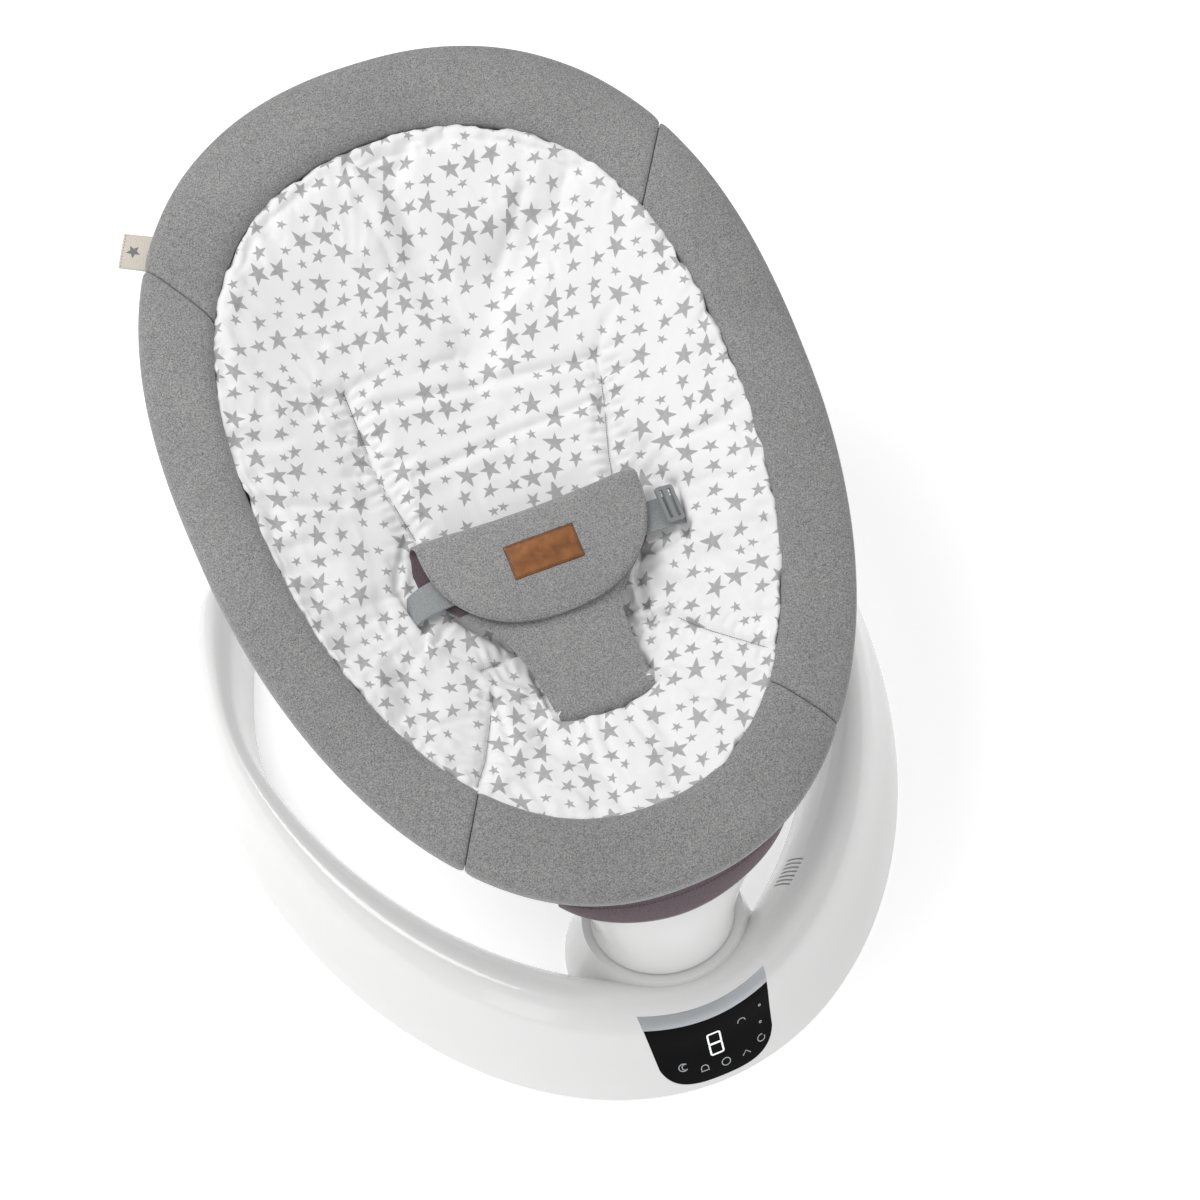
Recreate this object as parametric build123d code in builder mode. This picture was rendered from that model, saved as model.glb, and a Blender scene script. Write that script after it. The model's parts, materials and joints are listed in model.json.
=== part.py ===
from build123d import *
import os
from math import acos, atan2, copysign, cos, degrees, hypot, pi, radians, sin, tan

# Baby swing: a horseshoe base with a touch panel, a drive turret with one flared neck, and an egg-shaped
# padded seat carried by the neck at its foot end. Millimetres. +Z is up, the seat's foot end points to -Y
# and its head end to +Y. The origin is on the floor, under the middle of the swing's length and width.

# ---------------------------------------------------------------- driving dimensions
# Seat ring
RING_LENGTH = 712.0  # outside, foot to head, measured along the ring's own plane
RING_WIDTH = 500.0  # outside
RING_BAND = 59.0  # width of the padded band at its sides
RING_BAND_ENDS = 67.0  # width of the padded band at the head and the foot
RING_THICKNESS = 32.0
RING_ROUNDING = 11.0
RING_SWELL = 0.11  # how much wider the head half is than the foot half
RING_SQUARENESS = 2.27  # 2 is an ellipse
RING_HEIGHT = 329.5  # middle of the ring above the floor
RING_FORWARD = 34.5  # middle of the ring along Y
RECLINE_AT_REST = 17.4  # degrees from level, head high
TUBE_WIDTH = 18.0
TUBE_HEIGHT = 16.0
TUBE_WALL = 2.0
TUBE_CLEARANCE = 0.5

# Seat soft goods
SEAT_DEPTH = 79.0  # top of the ring's inner edge to the lowest point of the cushion's face
CUSHION_THICKNESS = 14.0
SLING_THICKNESS = 2.0
PAD_THICKNESS = 14.0
PAD_HALF_WIDTH = 92.0
WEBBING_WIDTH = 25.0
WEBBING_THICKNESS = 2.0

# Base
BASE_HALF_WIDTH = 296.0
BASE_REACH = 416.0  # from the middle of the horseshoe to its front edge
BASE_CENTRE_Y = 42.0
BASE_BULGE = 1.98
CREST_HALF_WIDTH = 266.0
CREST_REACH = 367.0
CREST_BULGE = 1.77
INNER_HALF_WIDTH = 248.0
INNER_REACH = 325.0
INNER_BULGE = 1.6
CREST_HEIGHT = 78.0
ARM_END_ANGLE = 121.0  # where each arm ends, seen from the middle of the horseshoe
COVER_WALL = 3.5
FOOT_HEIGHT = 4.0
TRAY_THICKNESS = 3.0
TRAY_CLEARANCE = 0.4

# Turret, neck and drive
TURRET_Y = -250.0
TURRET_HEIGHT = 70.0
TURRET_TOP_RADIUS = 65.0
TURRET_FLOOR_RADIUS = 81.0
SWING_TILT = 10.0  # the swing axis leans back from vertical
SWING_RANGE = 10.0
NECK_GAP = 1.5
NECK_BOTTOM_RADIUS = 58.0
NECK_TOP_HALF_WIDTH = 100.0
NECK_TOP_HALF_DEPTH = 42.0
NECK_WALL = 3.5
SHAFT_RADIUS = 10.0
SHAFT_CLEARANCE = 0.08
COLLAR_RADIUS = 13.4
RUN_CLEARANCE = 0.5
GEAR_MODULE = 1.0
SECTOR_TEETH = 72  # a full turn's worth
PINION_TEETH = 16
GEAR_BACKLASH = 0.3
GEAR_WIDTH = 6.0
DRIVE_DIRECTION = -36.0  # from the swing axis to the pinion, degrees round the axis
PIN_RADIUS = 5.0
PIN_CLEARANCE = 0.08

# Panel
PANEL_HALF_WIDTH = 54.0
PANEL_LENGTH = 78.0
PANEL_THICKNESS = 1.6
PANEL_CLEARANCE = 0.2
TRIM_HEIGHT = 12.0

# ---------------------------------------------------------------- frames that pieces share
tilt = radians(RECLINE_AT_REST)
ring_plane = Plane(
    origin=(0, RING_FORWARD, RING_HEIGHT), x_dir=(1, 0, 0), z_dir=(0, -sin(tilt), cos(tilt))
)
lean = radians(SWING_TILT)
swing_plane = Plane(
    origin=(0, TURRET_Y, TURRET_HEIGHT), x_dir=(1, 0, 0), z_dir=(0, sin(lean), cos(lean))
)
panel_plane = Plane(origin=(0, -340, 70), x_dir=(1, 0, 0), z_dir=(0, -0.8911, 0.4537))
INNER_LENGTH = RING_LENGTH - 2 * RING_BAND_ENDS
INNER_WIDTH = RING_WIDTH - 2 * RING_BAND
HALF_RING = RING_THICKNESS / 2
FOOT_MID = -(RING_LENGTH - RING_BAND_ENDS) / 2  # middle of the band at the foot, along the ring
PIVOT_Y = FOOT_MID + 5
PIVOT_Z = -HALF_RING - 14
COVER_FLOOR = FOOT_HEIGHT  # lower edge of the base's shell
TRAY_TOP = COVER_FLOOR + TRAY_THICKNESS


def export(name, label):
    name.part.label = label
    export_step(name.part, f"parts/{label}.step")


# ---------------------------------------------------------------- outlines
def egg(plane, length, width, shift=0.0, swell=RING_SWELL, count=28):
    """Face with an egg outline, wide end towards +Y of the plane."""
    power = 2 / RING_SQUARENESS
    points = []
    for step in range(count):
        angle = 2 * pi * step / count
        along = copysign(abs(cos(angle)) ** power, cos(angle))
        across = copysign(abs(sin(angle)) ** power, sin(angle))
        points.append((width / 2 * across * (1 + swell * cos(angle)), shift + length / 2 * along))
    with BuildSketch(plane) as outline:
        with BuildLine():
            Spline(*points, periodic=True)
        make_face()
    return outline.sketch


def egg_ring(low, high, outer, inner):
    """Flat band between two eggs, each given as (length, width, shift), between two heights on the ring."""
    with BuildPart() as band:
        extrude(egg(ring_plane.offset(low), *outer), amount=high - low)
        extrude(egg(ring_plane.offset(low), *inner), amount=high - low, mode=Mode.SUBTRACT)
    return band


BOWL_LEVELS = (0.0, 0.12, 0.3, 0.5, 0.7, 0.86, 0.96)  # shares of its depth where it gets a section
BOWL_ROUNDNESS = 0.6  # 0.5 is an ellipsoid, and 1 a cone
BOWL_SHIFT = 60.0  # how far its lowest point lies towards the foot
BOWL_SHIFT_POWER = 2.5
RIM_SHIFT = 3.0
RIM_GAP = 4.0  # the cushion is this much narrower than the ring's inner edge
RIM_THICKNESS = 6.0
HEM_OUT = -19.0  # outer edge of the sling's hem, from the middle of the ring's band


def bowl(plane_top, depth, length, width, start=0.0):
    """Seat hollow below a plane: eggs that shrink and move towards the foot as they go down."""
    sections = []
    for part in BOWL_LEVELS:
        share = start + (1 - start) * part
        scale = (1 - share) ** BOWL_ROUNDNESS
        shift = -RIM_SHIFT - BOWL_SHIFT * share**BOWL_SHIFT_POWER
        sections.append(egg(plane_top.offset(-depth * share), length * scale, width * scale, shift))
    with BuildPart() as form:
        loft(sections)
    return form.part


def horseshoe_point(angle, half_width, reach, bulge):
    """Point on one of the base's plan curves; 0 degrees is the front, 90 the right side."""
    power = 2 / bulge
    x = copysign(half_width * abs(sin(radians(angle))) ** power, sin(radians(angle)))
    y = BASE_CENTRE_Y - copysign(reach * abs(cos(radians(angle))) ** power, cos(radians(angle)))
    return x, y


def distance_to(start, direction, half_width, reach, bulge):
    """How far a level ray runs from a point on the crest to one of the base's plan curves."""
    low, high = 0.0, 120.0

    def outside(run):
        x = abs(start[0] + direction[0] * run) / half_width
        y = abs(start[1] + direction[1] * run - BASE_CENTRE_Y) / reach
        return x**bulge + y**bulge > 1

    first = outside(low)
    for _ in range(40):
        middle = (low + high) / 2
        if outside(middle) == first:
            low = middle
        else:
            high = middle
    return low


def crest_frame(angle):
    """Crest point, outward level direction, and the widths of the outer and inner flanks there."""
    here = horseshoe_point(angle, CREST_HALF_WIDTH, CREST_REACH, CREST_BULGE)
    before = horseshoe_point(angle - 1, CREST_HALF_WIDTH, CREST_REACH, CREST_BULGE)
    after = horseshoe_point(angle + 1, CREST_HALF_WIDTH, CREST_REACH, CREST_BULGE)
    run = hypot(after[0] - before[0], after[1] - before[1])
    out = ((after[1] - before[1]) / run, -(after[0] - before[0]) / run)
    back = (-out[0], -out[1])
    outer = distance_to(here, out, BASE_HALF_WIDTH, BASE_REACH, BASE_BULGE)
    inner = distance_to(here, back, INNER_HALF_WIDTH, INNER_REACH, INNER_BULGE)
    return here, out, outer, inner


# Share of the flank's width and of the crest's height, from the inner edge over the crest to the outer edge
FLANK_SHAPE = [
    (-1, 0), (-0.86, 0.3), (-0.62, 0.72), (-0.3, 0.94), (0, 1),
    (0.3, 0.89), (0.59, 0.54), (0.88, 0.19), (1, 0),
]


def base_section(angle, inset, narrowing=1.0):
    """Cross-section of the base's hump, or of its hollow when inset is over zero."""
    here, out, outer, inner = crest_frame(angle)
    plane = Plane(origin=(here[0], here[1], 0), x_dir=(*out, 0), z_dir=(out[1], -out[0], 0))
    floor = COVER_FLOOR - (1.0 if inset else 0.0)
    height = (CREST_HEIGHT - COVER_FLOOR) * (0.45 + 0.55 * narrowing) - inset
    points = []
    for across, up in FLANK_SHAPE:
        width = (outer if across > 0 else inner) * narrowing - inset
        points.append((across * width, floor + up * height))
    with BuildSketch(plane) as section:
        with BuildLine():
            Spline(*points)
            Line(points[-1], points[0])
        make_face()
    return section.sketch


def base_form(inset=0.0):
    """The horseshoe hump, whole, or its hollow."""
    end = ARM_END_ANGLE - inset * 0.75
    round_length = 9.0  # degrees over which each arm's end rounds off
    steps = [(end - round_length) * n / 10 for n in range(-10, 11)]
    tips = [(end - round_length + round_length * t, (1 - t**2) ** 0.5) for t in (0.35, 0.65, 0.85, 0.97)]
    sections = [base_section(-angle, inset, narrow) for angle, narrow in reversed(tips)]
    sections += [base_section(angle, inset) for angle in steps]
    sections += [base_section(angle, inset, narrow) for angle, narrow in tips]
    with BuildPart() as form:
        loft(sections)
    return form.part


def turret_form(inset=0.0):
    """The drive turret's cone, whole, or its hollow."""
    floor = COVER_FLOOR - (1.0 if inset else 0.0)
    with BuildPart() as form:
        with BuildSketch(Plane.XY.offset(floor)) as foot:
            with Locations((0, TURRET_Y)):
                Circle(TURRET_FLOOR_RADIUS - inset)
        with BuildSketch(swing_plane.offset(-inset)) as top:
            Circle(TURRET_TOP_RADIUS - inset)
        loft()
    return form.part


def axis_plane(height, direction=None, radius=0.0):
    """Level with the swing axis's own frame, at a height on it, moved off the axis in a direction."""
    plane = swing_plane.offset(height)
    if direction is None:
        return plane
    angle = radians(direction)
    return plane.move(Location((radius * cos(angle), radius * sin(angle), 0)))


def on_ring(x, y, z=0.0):
    """A point given in the seat ring's own frame, in the swing's frame."""
    return ring_plane.from_local_coords((x, y, z))


# ---------------------------------------------------------------- gears
def gear_outline(teeth, whole, centre_angle, first_tooth, last_tooth, hub_radius=0.0):
    """Involute outline, closed at the root circle or through the hub."""
    pressure = radians(20)
    pitch = GEAR_MODULE * whole / 2
    base = pitch * cos(pressure)
    root = pitch - 1.25 * GEAR_MODULE
    tip = pitch + 0.9 * GEAR_MODULE
    involute = tan(pressure) - pressure
    half_at_pitch = pi / 2 / whole - GEAR_BACKLASH / 2 / pitch
    lowest = max(base, root)
    radii = [lowest + (tip - lowest) * n / 4 for n in range(5)]
    flank = []
    for radius in radii:
        slope = acos(min(1.0, base / radius))
        flank.append((radius, half_at_pitch + involute - (tan(slope) - slope)))
    flank.insert(0, (root, flank[0][1]))
    points = []
    for tooth in range(first_tooth, last_tooth + 1):
        middle = radians(centre_angle) + 2 * pi * tooth / whole
        for radius, half in flank:
            points.append((radius * cos(middle - half), radius * sin(middle - half)))
        for radius, half in reversed(flank):
            points.append((radius * cos(middle + half), radius * sin(middle + half)))
    if hub_radius:
        for side in (1, -1):
            angle = radians(centre_angle) + side * pi / 2
            points.append((hub_radius * cos(angle), hub_radius * sin(angle)))
    return points


# ---------------------------------------------------------------- base
TURRET_FIXING = 45.0  # the turret's own screw and foot, behind its middle
TURRET_SCREW_ASIDE = 30.0


def screw_places():
    """Plan positions of the tray's screws, on the crest line and beside the turret's inlet."""
    places = [horseshoe_point(side * angle, CREST_HALF_WIDTH, CREST_REACH, CREST_BULGE)
              for side in (-1, 1) for angle in (44, 74, 104)]
    places.append((TURRET_SCREW_ASIDE, TURRET_Y + TURRET_FIXING))
    return places


def foot_places():
    """Plan positions of the rubber feet."""
    places = [horseshoe_point(side * angle, CREST_HALF_WIDTH, CREST_REACH, CREST_BULGE)
              for side in (-1, 1) for angle in (26, 60, 90, 114)]
    places.append((0, TURRET_Y + TURRET_FIXING))
    return places


BOSS_RADIUS = 5.0
SCREW_RADIUS = 2.0
JACK_HEIGHT = 26.0
JACK_RADIUS = 5.5
JACK_REACH = TURRET_FLOOR_RADIUS - (TURRET_FLOOR_RADIUS - TURRET_TOP_RADIUS) * JACK_HEIGHT / TURRET_HEIGHT
FEET_RADIUS = 11.0


def panel_outline(plane, top, bottom, half_width, grow=0.0):
    """Shield outline of the touch panel: a slightly dished top, sides that lean in and a round bottom."""
    side = half_width + grow
    low = half_width * 0.64 + grow
    with BuildSketch(plane) as outline:
        with BuildLine():
            ThreePointArc((-side, top + grow), (0, top - 6 + grow), (side, top + grow))
            Line((side, top + grow), (side * 0.9, bottom + 24))
            Spline((side * 0.9, bottom + 24), (low, bottom + 5 - grow), (0, bottom - grow),
                   (-low, bottom + 5 - grow), (-side * 0.9, bottom + 24))
            Line((-side * 0.9, bottom + 24), (-side, top + grow))
        make_face()
    return outline.sketch


def grille_plane(angle):
    """On the inner flank of the hump, facing out of it."""
    here, out, _, inner = crest_frame(angle)
    across = -0.52 * inner
    steep = (CREST_HEIGHT * 0.42, inner * 0.24)
    run = hypot(*steep)
    normal = (-out[0] * steep[0] / run, -out[1] * steep[0] / run, steep[1] / run)
    point = (here[0] + out[0] * across, here[1] + out[1] * across, COVER_FLOOR + 0.8 * CREST_HEIGHT)
    return Plane(origin=point, x_dir=(-out[1], out[0], 0), z_dir=normal)


PANEL_TOP = 10.0
PANEL_BOTTOM = PANEL_TOP - PANEL_LENGTH
PANEL_REACH = 60.0  # how far the panel's outline is carried through the cover
GRILLE_ANGLE = 30.0
whole_hump = base_form()
hollow_hump = base_form(COVER_WALL)
whole_turret = turret_form()
hollow_turret = turret_form(COVER_WALL)
panel_bed = base_form(PANEL_THICKNESS)


def make_base_cover():
    with BuildPart() as hollow:
        add(hollow_hump)
        add(hollow_turret)
        with BuildSketch(Plane.XY.offset(TRAY_TOP + 0.2)):
            with Locations(*screw_places()):
                Circle(BOSS_RADIUS)
        extrude(amount=CREST_HEIGHT, mode=Mode.SUBTRACT)
    with BuildPart() as base_cover:
        add(whole_hump)
        add(whole_turret)
        add(hollow.part, mode=Mode.SUBTRACT)
        # opening for the neck's spigot and its swing shaft
        with BuildSketch(swing_plane.offset(-COVER_WALL - 1)):
            Circle(COLLAR_RADIUS + 0.6)
        extrude(amount=COVER_WALL + 2, mode=Mode.SUBTRACT)
        # pilot holes for the tray's screws
        with BuildSketch(Plane.XY.offset(TRAY_TOP)):
            with Locations(*screw_places()):
                Circle(SCREW_RADIUS)
        extrude(amount=16, mode=Mode.SUBTRACT)
        # mouth of the power inlet, at the back of the turret
        with BuildSketch(Plane.XZ.offset(-TURRET_Y - JACK_REACH - 8)):
            with Locations((0, JACK_HEIGHT)):
                Circle(JACK_RADIUS)
        extrude(amount=30, mode=Mode.SUBTRACT)
        # grille slots
        with BuildSketch(grille_plane(GRILLE_ANGLE).offset(-8)):
            with GridLocations(4.2, 0, 7, 1):
                SlotOverall(20, 1.8, rotation=90)
        extrude(amount=20, mode=Mode.SUBTRACT)
    with BuildPart() as recess:
        opening = panel_outline(panel_plane, PANEL_TOP, PANEL_BOTTOM, PANEL_HALF_WIDTH, PANEL_CLEARANCE)
        extrude(opening, amount=PANEL_REACH, both=True)
        add(panel_bed, mode=Mode.SUBTRACT)
    with BuildPart() as finished:
        add(base_cover.part)
        add(recess.part, mode=Mode.SUBTRACT)
    export(finished, "base_cover")


def make_panel():
    for label, top, bottom in (("panel_trim", PANEL_TOP, None), ("panel_glass", None, PANEL_BOTTOM)):
        with BuildPart() as piece:
            outline = panel_outline(panel_plane, PANEL_TOP, PANEL_BOTTOM, PANEL_HALF_WIDTH)
            extrude(outline, amount=PANEL_REACH, both=True)
            add(whole_hump, mode=Mode.INTERSECT)
            add(panel_bed, mode=Mode.SUBTRACT)
            split_low = PANEL_TOP - TRIM_HEIGHT + (PANEL_CLEARANCE if top else 0)
            with BuildSketch(panel_plane.offset(-50)):
                with BuildLine():
                    side = PANEL_HALF_WIDTH + 10
                    ThreePointArc((-side, split_low + 2), (0, split_low - 6), (side, split_low + 2))
                    far = 100 if top else -150
                    Line((side, split_low + 2), (side, far))
                    Line((side, far), (-side, far))
                    Line((-side, far), (-side, split_low + 2))
                make_face()
            extrude(amount=100, mode=Mode.INTERSECT)
        export(piece, label)


def make_base_tray():
    gap = COVER_WALL + TRAY_CLEARANCE
    end = ARM_END_ANGLE - 6
    outer, inner = [], []
    for step in range(-16, 17):
        here, out, outer_width, inner_width = crest_frame(end * step / 16)
        a, b = outer_width - gap, inner_width - gap
        outer.append((here[0] + out[0] * a, here[1] + out[1] * a))
        inner.append((here[0] - out[0] * b, here[1] - out[1] * b))
    inner.reverse()
    with BuildPart() as base_tray:
        with BuildSketch(Plane.XY.offset(COVER_FLOOR)):
            with BuildLine():
                Spline(*outer)
                Line(outer[-1], inner[0])
                Spline(*inner)
                Line(inner[-1], outer[0])
            make_face()
            with Locations((0, TURRET_Y)):
                Circle(TURRET_FLOOR_RADIUS - gap)
        extrude(amount=TRAY_THICKNESS)
        # sloping seat for the pivot housing
        with BuildSketch(swing_plane.offset(HOUSING_LOW)):
            Circle(FLANGE_RADIUS)
        extrude(until=Until.NEXT, dir=(0, 0, -1))
        with BuildSketch(Plane.XY.offset(COVER_FLOOR - 1)):
            with Locations(*screw_places()):
                Circle(SCREW_RADIUS + 0.3)
            with Locations(*foot_places()):
                Circle(3.2)
        extrude(amount=TRAY_THICKNESS + 2, mode=Mode.SUBTRACT)
    export(base_tray, "base_tray")


def make_base_feet():
    with BuildPart() as base_feet:
        with BuildSketch(Plane.XY):
            with Locations(*foot_places()):
                Circle(FEET_RADIUS)
        extrude(amount=FOOT_HEIGHT)
        fillet(base_feet.edges().group_by(Axis.Z)[0], 1.2)
        with BuildSketch(Plane.XY.offset(FOOT_HEIGHT)):
            with Locations(*foot_places()):
                Circle(3)
        extrude(amount=TRAY_THICKNESS + 1)
    export(base_feet, "base_feet")


def make_base_screws():
    with BuildPart() as base_screws:
        with BuildSketch(Plane.XY.offset(COVER_FLOOR - 2.2)):
            with Locations(*screw_places()):
                Circle(3.6)
        extrude(amount=2.2)
        with BuildSketch(Plane.XY.offset(COVER_FLOOR)):
            with Locations(*screw_places()):
                Circle(SCREW_RADIUS - 0.1)
        extrude(amount=14)
    export(base_screws, "base_screws")


# Heights on the swing axis, down from the turret's top
PLATE_HIGH = -COVER_WALL - 0.5
PLATE_THICKNESS = 5.0
GEAR_HIGH = PLATE_HIGH - PLATE_THICKNESS - 3
GEAR_LOW = GEAR_HIGH - GEAR_WIDTH
HOUSING_HIGH = GEAR_LOW - 4
HOUSING_LOW = HOUSING_HIGH - 24
BUSH_RADIUS = 14.0
SHAFT_LOW = HOUSING_LOW + 4
PITCH_SECTOR = GEAR_MODULE * SECTOR_TEETH / 2
PITCH_PINION = GEAR_MODULE * PINION_TEETH / 2
CENTRES = PITCH_SECTOR + PITCH_PINION
MOTOR_RADIUS = 15.0
MOTOR_HEIGHT = 22.0
MOTOR_HIGH = GEAR_LOW - 4
MOTOR_SHAFT_RADIUS = 3.0
CLAMP_HIGH = MOTOR_HIGH - 8
CLAMP_HEIGHT = 8.0
PLATE_LUG = 57.0  # length of the bearing plate's arms
PLATE_ARMS = (20, 120, 200)  # their directions round the axis
HOUSING_WALL = 6.0
FLANGE_RADIUS = 25.0
FLANGE_THICKNESS = 4.0


def make_pivot_housing():
    with BuildPart() as pivot_housing:
        with BuildSketch(swing_plane.offset(HOUSING_LOW)):
            Circle(FLANGE_RADIUS)
        extrude(amount=FLANGE_THICKNESS)
        with BuildSketch(swing_plane.offset(HOUSING_LOW)):
            Circle(BUSH_RADIUS + HOUSING_WALL)
        extrude(amount=HOUSING_HIGH - HOUSING_LOW)
        with BuildSketch(swing_plane.offset(HOUSING_LOW + FLANGE_THICKNESS)):
            Circle(BUSH_RADIUS)
        extrude(amount=HOUSING_HIGH - HOUSING_LOW, mode=Mode.SUBTRACT)
    export(pivot_housing, "pivot_housing")


def make_bush(label, low, high):
    with BuildPart() as bush:
        with BuildSketch(swing_plane.offset(low)):
            Circle(BUSH_RADIUS)
            Circle(SHAFT_RADIUS + SHAFT_CLEARANCE, mode=Mode.SUBTRACT)
        extrude(amount=high - low)
    export(bush, label)


def make_bearing_plate():
    """Plate that holds the upper bush under the turret's top, with three legs down to the tray."""
    with BuildPart() as bearing_plate:
        with BuildSketch(swing_plane.offset(PLATE_HIGH - PLATE_THICKNESS)):
            Circle(22)
            for direction in PLATE_ARMS:
                angle = radians(direction)
                with Locations((PLATE_LUG / 2 * cos(angle), PLATE_LUG / 2 * sin(angle))):
                    Rectangle(PLATE_LUG, 12, rotation=direction)
            Circle(BUSH_RADIUS, mode=Mode.SUBTRACT)
        extrude(amount=PLATE_THICKNESS)
        with BuildSketch(swing_plane.offset(PLATE_HIGH - PLATE_THICKNESS)):
            for direction in PLATE_ARMS:
                angle = radians(direction)
                with Locations(((PLATE_LUG - 6) * cos(angle), (PLATE_LUG - 6) * sin(angle))):
                    Circle(5)
        extrude(amount=-90)
        split(bisect_by=Plane.XY.offset(TRAY_TOP), keep=Keep.TOP)
    export(bearing_plate, "bearing_plate")


def make_sector_gear():
    reach = SWING_RANGE + 12
    teeth = int(reach * SECTOR_TEETH / 360) + 1
    with BuildPart() as sector_gear:
        with BuildSketch(swing_plane.offset(GEAR_LOW)):
            Polygon(*gear_outline(teeth, SECTOR_TEETH, DRIVE_DIRECTION, -teeth, teeth) + [(0, 0)], align=None)
            Circle(SHAFT_RADIUS + 7)
            Circle(SHAFT_RADIUS, mode=Mode.SUBTRACT)
        extrude(amount=GEAR_WIDTH)
    export(sector_gear, "sector_gear")


def make_drive_pinion():
    facing = DRIVE_DIRECTION + 180 + 180 / PINION_TEETH
    with BuildPart() as drive_pinion:
        with BuildSketch(axis_plane(GEAR_LOW - 0.5, DRIVE_DIRECTION, CENTRES)):
            Polygon(*gear_outline(PINION_TEETH, PINION_TEETH, facing, 0, PINION_TEETH - 1), align=None)
            Circle(MOTOR_SHAFT_RADIUS + 0.05, mode=Mode.SUBTRACT)
        extrude(amount=GEAR_WIDTH + 1)
    export(drive_pinion, "drive_pinion")


def make_gear_motor():
    """Geared motor in a round can, its output shaft up into the pinion."""
    with BuildPart() as gear_motor:
        with BuildSketch(axis_plane(MOTOR_HIGH - MOTOR_HEIGHT, DRIVE_DIRECTION, CENTRES)):
            Circle(MOTOR_RADIUS)
        extrude(amount=MOTOR_HEIGHT)
        fillet(gear_motor.edges().filter_by(GeomType.CIRCLE), 1.2)
        with BuildSketch(axis_plane(MOTOR_HIGH, DRIVE_DIRECTION, CENTRES)):
            Circle(MOTOR_SHAFT_RADIUS)
        extrude(amount=GEAR_LOW + GEAR_WIDTH - 1 - MOTOR_HIGH)
    export(gear_motor, "gear_motor")


def make_motor_bracket():
    """Clamp ring round the motor, with two posts down to the tray."""
    low = CLAMP_HIGH - CLAMP_HEIGHT
    with BuildPart() as motor_bracket:
        with BuildSketch(axis_plane(low, DRIVE_DIRECTION, CENTRES)):
            Circle(MOTOR_RADIUS + 3)
            with GridLocations(0, 2 * MOTOR_RADIUS + 12, 1, 2):
                Circle(5)
            Circle(MOTOR_RADIUS + 0.1, mode=Mode.SUBTRACT)
        extrude(amount=CLAMP_HEIGHT)
        with BuildSketch(axis_plane(low, DRIVE_DIRECTION, CENTRES)):
            with GridLocations(0, 2 * MOTOR_RADIUS + 12, 1, 2):
                Circle(4)
        extrude(amount=-TURRET_HEIGHT)
        split(bisect_by=Plane.XY.offset(TRAY_TOP), keep=Keep.TOP)
    export(motor_bracket, "motor_bracket")


SPEAKER_RADIUS = 9.0
SPEAKER_DEPTH = 14.0  # back of its cone, under the grille
SPEAKER_DROP = 8.0  # its middle, below the grille's
CONE_HEIGHT = 4.0
MAGNET_HEIGHT = 5.0


def make_electronics():
    with BuildPart() as control_board:
        with BuildSketch(Plane.XY.offset(TRAY_TOP + 6)):
            with Locations((-150, -262)):
                RectangleRounded(54, 30, 3, rotation=28)
        extrude(amount=1.6)
        with BuildSketch(Plane.XY.offset(TRAY_TOP + 7.6)):
            with Locations((-158, -266)):
                Rectangle(16, 12, rotation=28)
            with Locations((-140, -256)):
                Circle(4)
        extrude(amount=5)
        with BuildSketch(Plane.XY.offset(TRAY_TOP)):
            with Locations((-168, -267), (-132, -256)):
                Circle(2.5)
        extrude(amount=6)
    export(control_board, "control_board")

    behind = panel_plane.offset(-COVER_WALL - 6.5)
    with BuildPart() as display_module:
        with BuildSketch(behind):
            with Locations((0, PANEL_BOTTOM / 2 + 4)):
                RectangleRounded(44, 26, 2)
        extrude(amount=3)
    export(display_module, "display_module")

    with BuildPart() as speaker:
        with BuildSketch(grille_plane(GRILLE_ANGLE).offset(-SPEAKER_DEPTH)):
            with Locations((0, SPEAKER_DROP)):
                Circle(SPEAKER_RADIUS)
        extrude(amount=CONE_HEIGHT)
        with BuildSketch(grille_plane(GRILLE_ANGLE).offset(-SPEAKER_DEPTH)):
            with Locations((0, SPEAKER_DROP)):
                Circle(SPEAKER_RADIUS * 0.6)
        extrude(amount=-MAGNET_HEIGHT)
    export(speaker, "speaker")

    with BuildPart() as power_jack:
        with BuildSketch(Plane.XZ.offset(-TURRET_Y - JACK_REACH + 2)):
            with Locations((0, JACK_HEIGHT)):
                Circle(JACK_RADIUS - 0.2)
        extrude(amount=8)
        with BuildSketch(Plane.XZ.offset(-TURRET_Y - JACK_REACH + 10)):
            with Locations((0, JACK_HEIGHT)):
                Rectangle(13, 13)
        extrude(amount=8)
        with BuildSketch(Plane.XZ.offset(-TURRET_Y - JACK_REACH + 2)):
            with Locations((0, JACK_HEIGHT)):
                Circle(3)
                Circle(1, mode=Mode.SUBTRACT)
        extrude(amount=10, mode=Mode.SUBTRACT)
    export(power_jack, "power_jack")


# ---------------------------------------------------------------- neck
SADDLE_SIDE = -HALF_RING - 2  # neck's top edge at its two tips, on the ring's axis
SADDLE_MIDDLE = -HALF_RING - 26  # and at the middle
NECK_TOP_Y = FOOT_MID + 4
BLOCK_HALF = 26.0
EAR_RADIUS = 10.0
EAR_THICKNESS = 6.0
EAR_X = BLOCK_HALF + 1  # inner face of each ear
EAR_DROP = 24.0  # how far the ears run on below the pin
ROD_RADIUS = 2.8
HANDLE_WIDTH = 76.0
HANDLE_HEIGHT = 18.0
HANDLE_THICKNESS = 9.0
HANDLE_STANDOFF = 38.0  # inner face of the handle, behind the recline pin
ROD_TIP = 17.0  # front end of the latch rods, behind the recline pin
pivot_plane = Plane(origin=on_ring(0, PIVOT_Y, PIVOT_Z), x_dir=ring_plane.y_dir, z_dir=(1, 0, 0))
latch_plane = Plane(
    origin=on_ring(0, PIVOT_Y, PIVOT_Z - EAR_DROP), x_dir=(-1, 0, 0), z_dir=ring_plane.y_dir
)


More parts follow.
